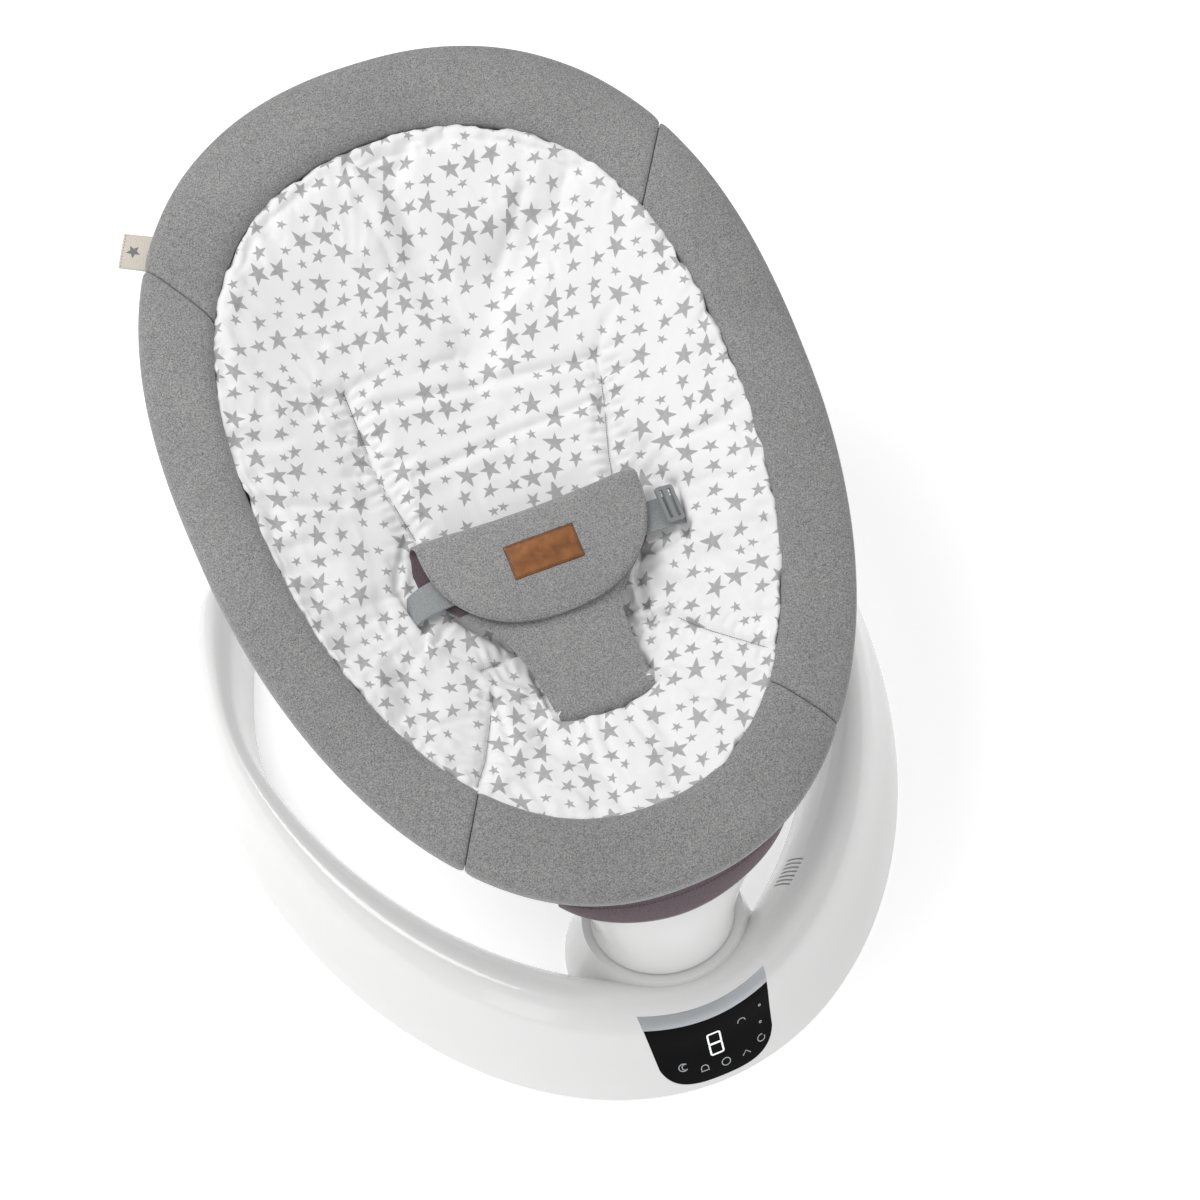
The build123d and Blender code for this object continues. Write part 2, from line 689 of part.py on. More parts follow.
def neck_form(inset=0.0):
    """Flared stem from the turret to the seat, whole, or its hollow."""
    low = NECK_GAP if not inset else NECK_GAP + NECK_WALL
    foot = swing_plane.offset(low)
    top = ring_plane.offset(-HALF_RING + 6)
    sections = []
    for share, half_width, half_depth in (
        (0.0, NECK_BOTTOM_RADIUS, NECK_BOTTOM_RADIUS),
        (0.32, NECK_BOTTOM_RADIUS + 3, NECK_BOTTOM_RADIUS - 10),
        (0.6, NECK_BOTTOM_RADIUS + 14, NECK_BOTTOM_RADIUS - 16),
        (0.82, NECK_TOP_HALF_WIDTH - 14, NECK_TOP_HALF_DEPTH),
        (1.0, NECK_TOP_HALF_WIDTH + 6, NECK_TOP_HALF_DEPTH + 4),
    ):
        middle = foot.origin * (1 - share) + top.from_local_coords((0, NECK_TOP_Y, 0)) * share
        angle = lean * (1 - share) - tilt * share
        plane = Plane(origin=middle, x_dir=(1, 0, 0), z_dir=(0, sin(angle), cos(angle)))
        with BuildSketch(plane) as section:
            Ellipse(half_width - inset, half_depth - inset)
        sections.append(section.sketch)
    with BuildPart() as form:
        loft(sections)
    return form.part


def saddle(lift=0.0, tip_lift=0.0):
    """The space over the neck's top edge, which dips in the middle and rises to a tip at each side."""
    side = NECK_TOP_HALF_WIDTH + 2
    far = side + 40
    high = 60
    low = SADDLE_SIDE + tip_lift
    front = Plane(origin=on_ring(0, FOOT_MID - 90), x_dir=(1, 0, 0), z_dir=ring_plane.y_dir * -1)
    with BuildPart() as form:
        with BuildSketch(front):
            with BuildLine():
                ThreePointArc((-side, low), (0, SADDLE_MIDDLE + lift), (side, low))
                Polyline((side, low), (far, low), (far, high), (-far, high), (-far, low), (-side, low))
            make_face()
        extrude(amount=-220)
    return form.part


def make_neck_shells():
    whole = neck_form()
    hollow = neck_form(NECK_WALL)
    cut = saddle()
    parting = Plane(origin=pivot_plane.origin, z_dir=(0, cos(lean / 2), -sin(lean / 2)))
    for label, keep in (("neck_shell_front", Keep.BOTTOM), ("neck_shell_rear", Keep.TOP)):
        with BuildPart() as shell:
            add(whole)
            add(hollow, mode=Mode.SUBTRACT)
            add(cut, mode=Mode.SUBTRACT)
            # opening for the shaft's collar, over the turret
            with BuildSketch(swing_plane):
                Circle(COLLAR_RADIUS + 1)
            extrude(amount=NECK_GAP + NECK_WALL + 2, mode=Mode.SUBTRACT)
            # holes for the latch rods
            with BuildSketch(latch_plane):
                with GridLocations(2 * (EAR_X + EAR_THICKNESS / 2), 0, 2, 1):
                    Circle(ROD_RADIUS + RUN_CLEARANCE)
            extrude(amount=60, mode=Mode.SUBTRACT)
            split(bisect_by=parting, keep=keep)
        export(shell, label)


def make_neck_frame():
    """Cast upright from the swing shaft to the recline pin."""
    low = swing_plane.offset(NECK_GAP + NECK_WALL + 0.5)
    shoulder = Plane(origin=on_ring(0, PIVOT_Y, PIVOT_Z - 20), x_dir=(1, 0, 0), z_dir=ring_plane.z_dir)
    with BuildPart() as neck_frame:
        with BuildSketch(low):
            RectangleRounded(46, 46, 10)
        with BuildSketch(shoulder):
            RectangleRounded(2 * BLOCK_HALF, 2 * EAR_RADIUS, 4)
        loft()
        with BuildSketch(pivot_plane.offset(-BLOCK_HALF)):
            Circle(EAR_RADIUS)
            with Locations((0, -12)):
                Rectangle(2 * EAR_RADIUS, 24)
        extrude(amount=2 * BLOCK_HALF)
        with BuildSketch(pivot_plane.offset(-BLOCK_HALF)):
            Circle(PIN_RADIUS)
        extrude(amount=2 * BLOCK_HALF, mode=Mode.SUBTRACT)
        with BuildSketch(low):
            Circle(SHAFT_RADIUS)
        extrude(amount=40, mode=Mode.SUBTRACT)
    export(neck_frame, "neck_frame")


def make_swing_shaft():
    with BuildPart() as swing_shaft:
        with BuildSketch(swing_plane.offset(SHAFT_LOW + 1)):
            Circle(SHAFT_RADIUS)
        extrude(amount=-SHAFT_LOW - 1 + NECK_GAP + NECK_WALL + 0.5 + 38)
        chamfer(swing_shaft.edges().filter_by(GeomType.CIRCLE), 0.8)
    export(swing_shaft, "swing_shaft")

    with BuildPart() as shaft_collar:
        with BuildSketch(swing_plane.offset(PLATE_HIGH + 0.4)):
            Circle(COLLAR_RADIUS)
            Circle(SHAFT_RADIUS, mode=Mode.SUBTRACT)
        extrude(amount=-PLATE_HIGH - 0.4 + NECK_GAP + NECK_WALL)
    export(shaft_collar, "shaft_collar")


def make_recline_pin():
    reach = EAR_X + EAR_THICKNESS + 3
    with BuildPart() as recline_pin:
        with BuildSketch(pivot_plane.offset(-reach)):
            Circle(PIN_RADIUS)
        extrude(amount=2 * reach)
        chamfer(recline_pin.edges().filter_by(GeomType.CIRCLE), 0.6)
    export(recline_pin, "recline_pin")


# ---------------------------------------------------------------- release handle
def make_release_handle():
    """Pull handle behind the neck, and the two rods that reach the ears' heels."""
    with BuildPart() as release_handle:
        with BuildSketch(latch_plane.offset(HANDLE_STANDOFF)):
            RectangleRounded(HANDLE_WIDTH, HANDLE_HEIGHT, HANDLE_HEIGHT / 2 - 1)
        extrude(amount=HANDLE_THICKNESS)
        outer_face = release_handle.faces().sort_by(Axis(latch_plane.origin, latch_plane.z_dir))[-1]
        fillet(outer_face.edges(), 3)
    export(release_handle, "release_handle")

    with BuildPart() as latch_rods:
        with BuildSketch(latch_plane.offset(ROD_TIP)):
            with GridLocations(2 * (EAR_X + EAR_THICKNESS / 2), 0, 2, 1):
                Circle(ROD_RADIUS)
        extrude(amount=HANDLE_STANDOFF - ROD_TIP)
    export(latch_rods, "latch_rods")


# ---------------------------------------------------------------- seat structure
OUTER_EGG = (RING_LENGTH, RING_WIDTH, 0.0)
INNER_EGG = (INNER_LENGTH, INNER_WIDTH, -1.5)


def mid_egg(offset):
    """Egg on the band's middle line, moved outward by an offset."""
    return (
        (RING_LENGTH + INNER_LENGTH) / 2 + 2 * offset,
        (RING_WIDTH + INNER_WIDTH) / 2 + 2 * offset,
        -0.75,
    )


HEAD_SEAM = ((176, 173), (212, 235))
FOOT_SEAM = ((126, -234), (151, -286))
BRACKET_HALF = 34.0
SPIGOT_REACH = 18.0
SPIGOT_CLEARANCE = 0.4


def stretched(seam):
    """Seam line, run on past both edges of the band."""
    (x0, y0), (x1, y1) = seam
    return (2 * x0 - x1, 2 * y0 - y1), (2 * x1 - x0, 2 * y1 - y0)


def make_seat_frame():
    tube_half = TUBE_WIDTH / 2
    hollow_half = tube_half - TUBE_WALL
    outer = egg_ring(-TUBE_HEIGHT / 2, TUBE_HEIGHT / 2, mid_egg(tube_half), mid_egg(-tube_half))
    inner = egg_ring(-TUBE_HEIGHT / 2 + TUBE_WALL, TUBE_HEIGHT / 2 - TUBE_WALL,
                     mid_egg(hollow_half), mid_egg(-hollow_half))
    with BuildPart() as seat_frame:
        add(outer.part)
        fillet(seat_frame.edges(), 4)
        add(inner.part, mode=Mode.SUBTRACT)
        with BuildSketch(ring_plane.offset(-HALF_RING)):
            with Locations((0, FOOT_MID)):
                Rectangle(2 * BRACKET_HALF + 1, RING_BAND_ENDS)
        extrude(amount=RING_THICKNESS, mode=Mode.SUBTRACT)
    export(seat_frame, "seat_frame")


def make_seat_bracket():
    """Cast saddle between the tube's two ends, with the ears that turn on the recline pin."""
    high = TUBE_HEIGHT / 2 - TUBE_WALL - SPIGOT_CLEARANCE
    half = TUBE_WIDTH / 2 - TUBE_WALL - SPIGOT_CLEARANCE
    # the saddle's arms bend with the tube and end inside it
    hoop = egg_ring(-high, high, mid_egg(half), mid_egg(-half))
    with BuildPart() as spigots:
        add(hoop.part)
        with BuildSketch(ring_plane.offset(-HALF_RING)):
            with Locations((0, FOOT_MID)):
                Rectangle(2 * (BRACKET_HALF + SPIGOT_REACH), RING_BAND_ENDS)
        extrude(amount=RING_THICKNESS, mode=Mode.INTERSECT)
    with BuildPart() as seat_bracket:
        with BuildSketch(ring_plane.offset(-TUBE_HEIGHT / 2)):
            with Locations((0, FOOT_MID)):
                Rectangle(2 * BRACKET_HALF, TUBE_WIDTH + 8)
        extrude(amount=TUBE_HEIGHT)
        add(spigots.part)
        for start in (EAR_X, -EAR_X - EAR_THICKNESS):
            with BuildSketch(pivot_plane.offset(start)):
                SlotCenterPoint((0, -EAR_DROP / 2), (0, 0), 2 * EAR_RADIUS)
                with Locations((0, 12)):
                    Rectangle(2 * EAR_RADIUS, 24)
                Circle(PIN_RADIUS + PIN_CLEARANCE, mode=Mode.SUBTRACT)
            extrude(amount=EAR_THICKNESS)
    export(seat_bracket, "seat_bracket")


FLAP_INSET = 4.0  # from the ring's outline
FLAP_THICKNESS = 3.0
FLAP_HALF_WIDTH = 76.0
FLAP_TUCK = 6.0  # how far it runs down inside the neck, at the middle
FLAP_RISE = 4.0  # how far it stays above the neck's tips


def make_front_flap(ring):
    """Dark skirt under the foot of the ring; it runs down inside the neck's top edge."""
    low, high = SADDLE_MIDDLE - 2 * FLAP_TUCK, 2 * FLAP_THICKNESS - 2 * FLAP_TUCK
    wide, narrow = 2 * FLAP_INSET, 2 * (FLAP_INSET + FLAP_THICKNESS)
    outside = (RING_LENGTH - wide, RING_WIDTH - wide, 0.0)
    skirt = egg_ring(low, high, outside, (RING_LENGTH - narrow, RING_WIDTH - narrow, 0.0))
    room = saddle(-FLAP_TUCK, FLAP_RISE)
    with BuildPart() as front_flap:
        add(skirt.part)
        add(room, mode=Mode.INTERSECT)
        add(ring, mode=Mode.SUBTRACT)
        with BuildSketch(ring_plane.offset(-60)):
            with Locations((0, FOOT_MID - 10)):
                Rectangle(2 * FLAP_HALF_WIDTH, 80)
        extrude(amount=60 - HALF_RING + RING_ROUNDING, mode=Mode.INTERSECT)
    export(front_flap, "front_flap")


def make_ring_covers():
    """Padded cover of the seat ring, in four panels that meet at slanting seams."""
    channel = egg_ring(-TUBE_HEIGHT / 2 - TUBE_CLEARANCE, TUBE_HEIGHT / 2 + TUBE_CLEARANCE,
                       mid_egg(TUBE_WIDTH / 2 + TUBE_CLEARANCE), mid_egg(-TUBE_WIDTH / 2 - TUBE_CLEARANCE))
    band = egg_ring(-HALF_RING, HALF_RING, OUTER_EGG, INNER_EGG)
    with BuildPart() as ring:
        add(band.part)
        fillet(ring.edges(), RING_ROUNDING)
        add(channel.part, mode=Mode.SUBTRACT)
        # room for the bracket and its ears under the foot of the ring
        with BuildSketch(ring_plane.offset(TUBE_HEIGHT / 2 + TUBE_CLEARANCE)):
            with Locations((0, FOOT_MID)):
                Rectangle(2 * BRACKET_HALF + 2, TUBE_WIDTH + 12)
        extrude(amount=-RING_THICKNESS, mode=Mode.SUBTRACT)
    make_front_flap(ring.part)
    far = RING_LENGTH
    head_in, head_out = stretched(HEAD_SEAM)
    foot_in, foot_out = stretched(FOOT_SEAM)
    head = [head_in, head_out, (head_out[0], far), (-head_out[0], far), (-head_out[0], head_out[1]),
            (-head_in[0], head_in[1])]
    foot = [foot_in, (-foot_in[0], foot_in[1]), (-foot_out[0], foot_out[1]), (-foot_out[0], -far),
            (foot_out[0], -far), foot_out]
    right = [head_in, head_out, (far, head_out[1]), (far, foot_out[1]), foot_out, foot_in]
    left = [(-x, y) for x, y in right]
    for label, region in (("head", head), ("foot", foot), ("right", right), ("left", left)):
        with BuildPart() as panel:
            add(ring.part)
            with BuildSketch(ring_plane.offset(-RING_THICKNESS)):
                Polygon(*region, align=None)
            extrude(amount=2 * RING_THICKNESS, mode=Mode.INTERSECT)
        export(panel, f"ring_cover_{label}")


def make_seat_soft_goods():
    cushion_top = ring_plane.offset(-RIM_SHIFT)
    outer_depth = SEAT_DEPTH + CUSHION_THICKNESS
    long, wide = INNER_LENGTH - RIM_GAP, INNER_WIDTH - RIM_GAP
    outer = bowl(cushion_top, outer_depth, long, wide)
    inner = bowl(cushion_top.offset(0.5), SEAT_DEPTH, long - 2 * RIM_THICKNESS, wide - 2 * RIM_THICKNESS)
    with BuildPart() as seat_cushion:
        add(outer)
        add(inner, mode=Mode.SUBTRACT)
    export(seat_cushion, "seat_cushion")

    start = (HALF_RING - 1) / outer_depth
    gap = 1.0
    grow = gap + SLING_THICKNESS
    sling_in = bowl(cushion_top, outer_depth + gap, long + 3 * gap, wide + 3 * gap, start)
    sling_out = bowl(cushion_top, outer_depth + grow, long + 3 * grow, wide + 3 * grow, start)
    hem_high = -HALF_RING - 0.3
    hem_inner = (INNER_LENGTH * 0.91, INNER_WIDTH * 0.91, -RIM_SHIFT)
    hem = egg_ring(hem_high - SLING_THICKNESS, hem_high, mid_egg(HEM_OUT), hem_inner)
    with BuildPart() as seat_sling:
        add(sling_out)
        add(hem.part)
        add(sling_in, mode=Mode.SUBTRACT)
        with BuildSketch(ring_plane.offset(hem_high)):
            Rectangle(2 * RING_WIDTH, 2 * RING_LENGTH)
        extrude(amount=RING_THICKNESS, mode=Mode.SUBTRACT)
    export(seat_sling, "seat_sling")


PAD_TOP = -19.0  # upper face of the belly pad, from the ring's middle
PAD_HIGH = -34.0  # edge of the pad nearest the head
PAD_LOW = -117.0  # lowest point of the pad's flap
PAD_MIDDLE = -44.0  # where the pad is widest
PAD_FULLNESS = 0.85  # 1 is a half ellipse
PAD_ROUNDING = 3.0
CROTCH_END = -199.0
CROTCH_THICKNESS = 9.0
CROTCH_SECTIONS = ((PAD_LOW + 12, 100.0, PAD_TOP - PAD_THICKNESS - 5), (CROTCH_END, 77.0, -33.5))
LABEL_WIDTH = 58.0
LABEL_HEIGHT = 28.5
LABEL_THICKNESS = 1.6
LABEL_Y = -72.5
STRAP_Y = -69.0
STRAP_OUT = 121.0  # where each strap goes into the cushion
STRAP_HIGH = PAD_TOP - 6
STRAP_DROP = 9.0
SLIDER_LENGTH = 16.0
SLIDER_THICKNESS = 2.4
SLIDER_SLOT = 3.0
TAG_SIZE = (21.0, 30.0)
TAG_THICKNESS = 1.6
TAG_OUTWARD = (-0.886, 0.464)  # direction in which it stands out of the seam


def make_belly_pad():
    half = PAD_HALF_WIDTH
    drop = PAD_MIDDLE - PAD_LOW
    outline = []
    for angle in range(-180, 1, 15):
        along = copysign(abs(cos(radians(angle))) ** PAD_FULLNESS, cos(radians(angle)))
        outline.append((half * along, PAD_MIDDLE - drop * abs(sin(radians(angle))) ** PAD_FULLNESS))
    outline += [(half - 3, PAD_HIGH - 1), (half - 12, PAD_HIGH), (0, PAD_HIGH - 4), (12 - half, PAD_HIGH),
                (3 - half, PAD_HIGH - 1)]
    with BuildPart() as belly_pad:
        with BuildSketch(ring_plane.offset(PAD_TOP - PAD_THICKNESS)):
            with BuildLine():
                Spline(*outline, periodic=True)
            make_face()
        extrude(amount=PAD_THICKNESS)
        level = [edge for edge in belly_pad.edges() if abs(edge.tangent_at(0.5).dot(ring_plane.z_dir)) < 0.5]
        fillet(level, PAD_ROUNDING)
    export(belly_pad, "belly_pad")

    with BuildPart() as crotch_strap:
        for along, width, middle in CROTCH_SECTIONS:
            across = Plane(origin=on_ring(0, along, middle), x_dir=(1, 0, 0), z_dir=ring_plane.y_dir)
            with BuildSketch(across):
                RectangleRounded(width, CROTCH_THICKNESS, CROTCH_THICKNESS / 3)
        loft()
    export(crotch_strap, "crotch_strap")

    with BuildPart() as leather_label:
        with BuildSketch(ring_plane.offset(PAD_TOP)):
            with Locations((0, LABEL_Y)):
                RectangleRounded(LABEL_WIDTH, LABEL_HEIGHT, 2)
        extrude(amount=LABEL_THICKNESS)
    export(leather_label, "leather_label")


def strap_plane(side):
    """On the underside of one side strap, along it, and the strap's length."""
    start = on_ring(side * (PAD_HALF_WIDTH + 0.3), STRAP_Y, STRAP_HIGH)
    end = on_ring(side * STRAP_OUT, STRAP_Y, STRAP_HIGH - STRAP_DROP)
    run = end - start
    return Plane(origin=(start + end) / 2, x_dir=run, z_dir=run.cross(ring_plane.y_dir) * side), run.length


def make_side_straps():
    for side, label in ((-1, "left"), (1, "right")):
        flat, length = strap_plane(side)
        with BuildPart() as strap:
            with BuildSketch(flat):
                Rectangle(length, WEBBING_WIDTH)
            extrude(amount=WEBBING_THICKNESS)
        export(strap, f"side_strap_{label}")
    flat, length = strap_plane(1)
    with BuildPart() as strap_slider:
        with BuildSketch(flat.offset(WEBBING_THICKNESS)):
            RectangleRounded(SLIDER_LENGTH, WEBBING_WIDTH + 5, 2.5)
            with GridLocations(SLIDER_LENGTH / 2 - 1, 0, 2, 1):
                Rectangle(SLIDER_SLOT, WEBBING_WIDTH - 1, mode=Mode.SUBTRACT)
        extrude(amount=SLIDER_THICKNESS)
    export(strap_slider, "strap_slider")


def make_side_tag():
    """Sewn tag that stands out of the ring's seam at the head's left."""
    edge = (-RING_WIDTH * 0.424, RING_LENGTH * 0.337)
    away = TAG_SIZE[0] / 2 + 0.4
    middle = (edge[0] + TAG_OUTWARD[0] * away, edge[1] + TAG_OUTWARD[1] * away)
    with BuildPart() as side_tag:
        with BuildSketch(ring_plane.offset(-TAG_THICKNESS / 2)):
            with Locations(middle):
                RectangleRounded(*TAG_SIZE, 2, rotation=degrees(atan2(TAG_OUTWARD[1], TAG_OUTWARD[0])))
        extrude(amount=TAG_THICKNESS)
    export(side_tag, "side_tag")


if __name__ == "__main__":
    os.makedirs("parts", exist_ok=True)
    make_base_cover()
    make_panel()
    make_base_tray()
    make_base_feet()
    make_base_screws()
    make_pivot_housing()
    make_bush("lower_bush", HOUSING_LOW + 4, HOUSING_HIGH)
    make_bush("upper_bush", PLATE_HIGH - PLATE_THICKNESS, PLATE_HIGH)
    make_bearing_plate()
    make_sector_gear()
    make_drive_pinion()
    make_gear_motor()
    make_motor_bracket()
    make_electronics()
    make_neck_shells()
    make_neck_frame()
    make_swing_shaft()
    make_recline_pin()
    make_release_handle()
    make_seat_frame()
    make_seat_bracket()
    make_ring_covers()
    make_seat_soft_goods()
    make_belly_pad()
    make_side_straps()
    make_side_tag()
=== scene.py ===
# %% [markdown]
# # Baby swing: the looks
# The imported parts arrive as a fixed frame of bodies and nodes. This notebook dresses them: soft goods are
# made anew around the seat's structure, hard parts keep their shape and get their finishes, and the touch
# panel gets its marks. Everything is in metres. The seat ring leans back, so most sewing is laid out in the
# ring's own frame and then carried into the swing's.

# %% Load the frame
import json
from math import atan2, cos, exp, pi, radians, sin

import bpy
import numpy as np
from mathutils import Matrix, Vector, noise
from mathutils.bvhtree import BVHTree


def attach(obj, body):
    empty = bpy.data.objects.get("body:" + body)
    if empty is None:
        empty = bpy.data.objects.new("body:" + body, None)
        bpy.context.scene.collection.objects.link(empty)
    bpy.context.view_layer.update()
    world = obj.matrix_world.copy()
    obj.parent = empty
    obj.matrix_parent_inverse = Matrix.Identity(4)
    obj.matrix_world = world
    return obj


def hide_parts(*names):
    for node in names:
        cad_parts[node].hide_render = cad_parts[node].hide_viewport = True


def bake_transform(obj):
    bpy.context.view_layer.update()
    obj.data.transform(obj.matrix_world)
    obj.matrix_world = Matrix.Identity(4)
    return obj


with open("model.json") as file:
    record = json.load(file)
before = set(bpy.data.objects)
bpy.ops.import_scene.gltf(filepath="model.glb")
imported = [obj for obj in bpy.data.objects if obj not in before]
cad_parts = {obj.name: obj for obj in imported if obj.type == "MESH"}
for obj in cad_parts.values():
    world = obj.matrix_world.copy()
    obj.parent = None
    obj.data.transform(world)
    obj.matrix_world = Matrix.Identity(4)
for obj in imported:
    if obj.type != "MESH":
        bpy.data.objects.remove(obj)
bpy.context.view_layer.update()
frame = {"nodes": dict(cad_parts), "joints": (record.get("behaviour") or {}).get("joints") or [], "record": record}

# %% [markdown]
# ## The ring's own frame
# The release handle slides along the ring's plane, so its joint axis says how far the ring leans. Measuring
# the four ring covers in that frame gives the ring's centre, width, length and thickness, and every soft
# piece is placed from those.

# %% Ring frame and measuring
joints = {joint["name"]: joint for joint in frame["joints"]}
ring_head = Vector(joints["handle_pull"]["axis"]).normalized()
ring_side = Vector((1, 0, 0))
ring_up = ring_side.cross(ring_head)
turn = Matrix((ring_side, ring_head, ring_up)).transposed()


def node_points(*names):
    """All corners of some CAD nodes, in the swing's frame."""
    return np.array([v.co for name in names for v in frame["nodes"][name].data.vertices])


cover_names = [f"ring_cover_{part}" for part in ("head", "foot", "left", "right")]
turned = node_points(*cover_names) @ np.array(turn)
ring_low, ring_high = turned.min(0), turned.max(0)
ring_middle = turn @ Vector((ring_low + ring_high) / 2)
ring_length = ring_high[1] - ring_low[1]
ring_width = ring_high[0] - ring_low[0]
ring_thick = ring_high[2] - ring_low[2]


def to_world(points):
    """Points in the ring's frame, carried into the swing's frame."""
    return np.asarray(points, float) @ np.array(turn).T + np.array(ring_middle)


def span(name):
    """Lowest and highest corner of a CAD node, measured in the ring's frame."""
    local = (node_points(name) - np.array(ring_middle)) @ np.array(turn)
    return local.min(0), local.max(0)


print("ring", round(ring_length, 3), round(ring_width, 3), round(ring_thick, 3), "leans", tuple(ring_head))

# %% [markdown]
# ## Small helpers for meshes
# Most pieces are grids: rows of points joined to the next row, sometimes closed round. One helper makes the
# faces and another makes the object, smooth-shaded and with its place in its mesh.

# %% Mesh helpers
def grid_faces(rows, columns, close_columns=False, close_rows=False):
    faces = []
    for r in range(rows if close_rows else rows - 1):
        for c in range(columns if close_columns else columns - 1):
            r2, c2 = (r + 1) % rows, (c + 1) % columns
            faces.append((r * columns + c, r * columns + c2, r2 * columns + c2, r2 * columns + c))
    return faces


def make_piece(name, points, faces, material, smooth=True):
    mesh = bpy.data.meshes.new(name)
    mesh.from_pydata([tuple(p) for p in points], [], faces)
    mesh.validate()
    mesh.polygons.foreach_set("use_smooth", [smooth] * len(mesh.polygons))
    piece = bpy.data.objects.new(name, mesh)
    bpy.context.scene.collection.objects.link(piece)
    piece.data.materials.append(material)
    return piece


def face_outwards(piece):
    """Merges doubles and turns every face of a closed piece outwards."""
    import bmesh
    work = bmesh.new()
    work.from_mesh(piece.data)
    bmesh.ops.remove_doubles(work, verts=work.verts, dist=1e-5)
    bmesh.ops.recalc_face_normals(work, faces=work.faces)
    work.to_mesh(piece.data)
    work.free()


def applied(piece):
    """Replaces a piece's mesh by its evaluated one, with every modifier applied."""
    bpy.context.view_layer.update()
    done = bpy.data.meshes.new_from_object(piece.evaluated_get(bpy.context.evaluated_depsgraph_get()))
    piece.modifiers.clear()
    piece.data = done
    return piece


# %% [markdown]
# ## The eye
# A long lens from high over the foot end's left, rolled slightly. The angles are kept as angles, so that the
# view can be read: where the camera stands round the swing, how high, and how far it is rolled.

# %% Camera
view_azimuth, view_elevation, view_roll = radians(-20.03), radians(57.12), radians(-3.31)
view_distance, view_aside, view_raise = 1.98912, 0.03564, 0.01928
view_target = Vector((0, -0.04, 0.2))
flat_share = cos(view_elevation)
back = Vector((sin(view_azimuth) * flat_share, -cos(view_azimuth) * flat_share, sin(view_elevation)))
level = Vector((0, 0, 1)).cross(back).normalized()
upward = back.cross(level)
right = cos(view_roll) * level + sin(view_roll) * upward
top = -sin(view_roll) * level + cos(view_roll) * upward
camera = bpy.data.objects.new("camera", bpy.data.cameras.new("camera"))
camera.data.lens = 74.703
camera.data.sensor_width = 36
turned_axes = Matrix((right, top, back)).transposed().to_4x4()
place = view_target + right * view_aside + top * view_raise + back * view_distance
camera.matrix_world = Matrix.Translation(place) @ turned_axes
bpy.context.scene.collection.objects.link(camera)
bpy.context.scene.camera = camera
print("camera at", tuple(round(v, 3) for v in place))

# %% [markdown]
# ## Shader helpers
# Node trees are easier to read as arithmetic. `calc` adds one Math node and returns its result, and the other
# helpers add a noise, a mix or a bump in one line.

# %% Shader helpers
def plug(tree, socket, value):
    if hasattr(value, "is_output"):
        tree.links.new(value, socket)
    elif value is not None:
        socket.default_value = value


def calc(tree, operation, *values, clamp=False):
    node = tree.nodes.new("ShaderNodeMath")
    node.operation = operation
    node.use_clamp = clamp
    for socket, value in zip(node.inputs, values):
        plug(tree, socket, value)
    return node.outputs[0]


def vector_calc(tree, operation, *values):
    node = tree.nodes.new("ShaderNodeVectorMath")
    node.operation = operation
    for socket, value in zip(node.inputs, values):
        plug(tree, socket, value)
    return node.outputs["Value" if operation in ("LENGTH", "DISTANCE", "DOT_PRODUCT") else "Vector"]


def noise_of(tree, vector, scale, detail=2.0, roughness=0.5):
    node = tree.nodes.new("ShaderNodeTexNoise")
    plug(tree, node.inputs["Vector"], vector)
    plug(tree, node.inputs["Scale"], scale)
    node.inputs["Detail"].default_value = detail
    node.inputs["Roughness"].default_value = roughness
    return node.outputs["Fac"]


def mix_colour(tree, share, first, second):
    node = tree.nodes.new("ShaderNodeMix")
    node.data_type = "RGBA"
    plug(tree, node.inputs["Factor"], share)
    plug(tree, node.inputs["A"], first)
    plug(tree, node.inputs["B"], second)
    return node.outputs["Result"]


def spread(tree, value, low, high, new_low, new_high):
    node = tree.nodes.new("ShaderNodeMapRange")
    for socket, given in zip(node.inputs, (value, low, high, new_low, new_high)):
        plug(tree, socket, given)
    return node.outputs["Result"]


def shade(name, roughness=0.5, metallic=0.0, **sockets):
    """New material: returns it, its tree, its shader and its object coordinates."""
    material = bpy.data.materials.new(name)
    material.use_nodes = True
    tree = material.node_tree
    shader = tree.nodes["Principled BSDF"]
    shader.inputs["Roughness"].default_value = roughness
    shader.inputs["Metallic"].default_value = metallic
    for key, value in sockets.items():
        shader.inputs[key.replace("_", " ")].default_value = value
    coordinates = tree.nodes.new("ShaderNodeTexCoord").outputs["Object"]
    return material, tree, shader, coordinates


def bump(tree, shader, height, distance, strength=1.0):
    node = tree.nodes.new("ShaderNodeBump")
    node.inputs["Strength"].default_value = strength
    node.inputs["Distance"].default_value = distance
    plug(tree, node.inputs["Height"], height)
    tree.links.new(node.outputs["Normal"], shader.inputs["Normal"])


def new_group(name, inputs, outputs):
    """Node group with named sockets: inputs are (name, type, default), outputs are (name, type)."""
    group = bpy.data.node_groups.new(name, "ShaderNodeTree")
    for label, kind, default in inputs:
        socket = group.interface.new_socket(label, in_out="INPUT", socket_type=kind)
        if default is not None:
            socket.default_value = default
    for label, kind in outputs:
        group.interface.new_socket(label, in_out="OUTPUT", socket_type=kind)
    return group, group.nodes.new("NodeGroupInput"), group.nodes.new("NodeGroupOutput")


def use_group(tree, group, **values):
    node = tree.nodes.new("ShaderNodeGroup")
    node.node_tree = group
    for key, value in values.items():
        plug(tree, node.inputs[key], value)
    return node


# %% [markdown]
# ## Effects that several finishes share
# **Melange** is yarn spun from light and dark fibres, seen on the ring, the pad and the webbing: two fine
# noises give the specks, and crossed waves give the weave. **Uneven** is the slow drift of gloss or tone
# that keeps a moulded or cast surface from looking computed. **Stars** is the cushion's print: the cloth is
# divided into bricks, and each brick holds one star with its own size, turn and place, so that no star is
# cut off.

